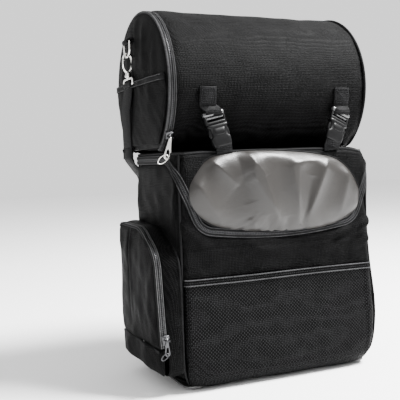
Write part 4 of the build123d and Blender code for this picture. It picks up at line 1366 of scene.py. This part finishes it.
# ------------------------------------------------------------------ buckled straps at the front
BUCKLES = {"left": (-105.5, -98.0, -87.0),
           "right": (116.0, 114.0, 90.0)}  # x on the roll, at the bar, on the lid
WEB = 25.0
TAB_HIGH, TAB_LOW = 427.0, 401.0
SHELL = [(-14.2, 14.6, 3.6), (-14.8, 15.8, 4.8), (-16.5, 16, 5.3), (-18.2, 15.6, 5.4), (-19.4, 12.4, 5.3),
         (-31.5, 11.6, 5.3), (-33.4, 14.6, 5.3), (-36, 15.0, 5.2), (-44, 14.2, 4.8), (-46.2, 13.6, 4.2),
         (-47, 12.6, 3.2)]
PRONG = [(-13, 1.8, 2.4), (-20, 1.8, 2.4), (-23, 2.9, 2.6), (-30, 3.4, 2.6), (-33.5, 1.6, 2.0)]
RAIL = [(2, 1.5, 2.4), (1, 1.7, 2.8), (-12, 1.8, 2.9), (-14, 1.5, 2.4)]
SHOULDER = [(-9.4, 15.6, 2.0), (-10, 16, 3.0), (-12.8, 16, 3.1), (-13.6, 15.4, 2.4)]
PANEL = [(-20, 6.5, 0.3), (-21, 8.5, 1.0), (-29, 7.0, 1.1), (-30.5, 5.0, 0.3)]
THICK_BAR = [(-16.2, 2.4, 2.4), (-15.4, 3.5, 3.6), (-12, 3.7, 3.8), (12, 3.7, 3.8), (15.4, 3.5, 3.6),
             (16.2, 2.4, 2.4)]
THIN_BAR = [(-14, 1.2, 1.2), (-12, 1.3, 1.4), (12, 1.3, 1.4), (14, 1.2, 1.2)]


def on_barrel(x, z, out):
    """A point at that height on the barrel's front, some way out of its cloth."""
    return x, ROLL_Y - math.sqrt((ROLL_R + 2.0) ** 2 - (z - ROLL_Z) ** 2) - out, z


def buckle(side, plane):
    """A side-release buckle: the plug's bars, rails and prongs on the roll, and the socket on the lid."""
    def part(name, stations, material, body, shift=(0, 0, 0), crosswise=False, **options):
        axes = (plane.y, plane.z) if crosswise else (plane.x, plane.z)
        loft(f"buckle_{side}_{name}", Plane(plane.at(list(shift)), *axes), stations, material, body,
             **options)

    # Both bars take the lighter plastic: painted highlight along the plug's bars.
    part("bar", THICK_BAR, BAR_PAINTED_HIGHLIGHT, "roll", (0, 1.6, 0), True, replaces=[f"buckle_plug_{side}"], power=0.9)
    for end, which in ((-1, "a"), (1, "b")):
        part(f"rail_{which}", RAIL, SATIN, "roll", (end * 14.3, 0, 0), power=0.7)
    part("second_bar", THIN_BAR, BAR_PAINTED_HIGHLIGHT, "roll", (0, -4.6, 0.6), True, power=0.9)
    part("shoulder", SHOULDER, SATIN, "roll", power=0.4)
    for end, which in ((-1, "a"), (1, "b")):
        part(f"prong_{which}", PRONG, SATIN, "roll", (end * 12.6, 0, 0), power=0.6)
    part("guide", [(-13, 2.0, 2.0), (-33, 1.8, 1.8)], GLOSS, "roll", power=0.6)
    part("shell", SHELL, SATIN, "lid", replaces=[f"buckle_socket_{side}"], power=0.42, count=40)
    part("panel", PANEL, SATIN, "lid", (0, 0, 4.9), power=0.6)


def front_strap(side, tab_x, top_x, low_x):
    """One buckled strap: its stitched end on the roll, the buckle, and its short end on the lid."""
    top = np.array([top_x, -80.0, 388.0])
    down = unit(np.array([low_x, -89.5, 339.0]) - top)
    across = unit(np.cross(down, [0.0, 1.0, 0.0]))
    plane = Plane(top, across, np.cross(across, -down))
    buckle(side, plane)
    on_roll = [on_barrel(tab_x, z, 0.0) for z in np.linspace(TAB_HIGH, TAB_LOW, 14)]
    bend = plane.at([(0, 6.6, 4.6), (0, 1.6, 4.4), (0, -2.8, 1.0), (0, 1.6, -4.0), (0, 10.6, -3.6)])
    run = resample(np.vstack([on_roll, bend]), 2.0)
    for _ in range(3):
        run[1:-1] = (run[:-2] + 2 * run[1:-1] + run[2:]) / 4
    sweep(f"upper_strap_{side}_web", run, unit(np.cross([1.0, 0.0, 0.0], tangents(run))),
          flat_profile(WEB, 2.0),
          WEBBING, "roll", [f"upper_strap_{side}"])
    patch = resample(np.array(on_roll) + np.array([0, -1.8, 0.0]), 2.0)
    sweep(f"upper_strap_{side}_patch", patch, np.array([0, -1.0, 0.12]), flat_profile(WEB + 0.6, 1.6),
          WEBBING, "roll")
    left, right, high, low = tab_x - 10.0, tab_x + 10.0, 424.0, 404.5
    a, b, c, d = (on_barrel(x, z, 3.0) for x, z in ((left, high), (right, high), (right, low), (left, low)))
    for index, ends in enumerate(((a, b), (b, c), (c, d), (d, a), (a, c), (b, d))):
        stitches(f"strap_stitching_{side}_{index}", resample(np.array(ends), 1.5), np.array([0, -1.0, 0.1]),
                 "roll",
                 lift=0.2, pitch=2.8, width=0.8)
    lid_web = np.vstack([plane.at([(0, -41, 1.5), (0, -44.0, 3.0), (0, -47.6, 2.8)]),
                         [(low_x, -90.2, 337.5), (low_x + 0.3, -89.8, 333.5)]])
    sweep(f"lower_strap_{side}_web", resample(lid_web, 1.5), np.array([0, -1.0, 0.2]),
          flat_profile(WEB, 2.0), WEBBING,
          "lid", [f"lower_strap_{side}"])


for side, places in BUCKLES.items():
    front_strap(side, *places)


# ------------------------------------------------------------------ last: boards, a baked transform and mesh links
for node in ("base_board", "back_board", "lid_board", "roll_board"):
    inner = bpy.data.objects.get(node)
    if inner:
        inner.data.materials.clear()
        inner.data.materials.append(BOARD)

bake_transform(tail_left)
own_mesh(strap_loop)

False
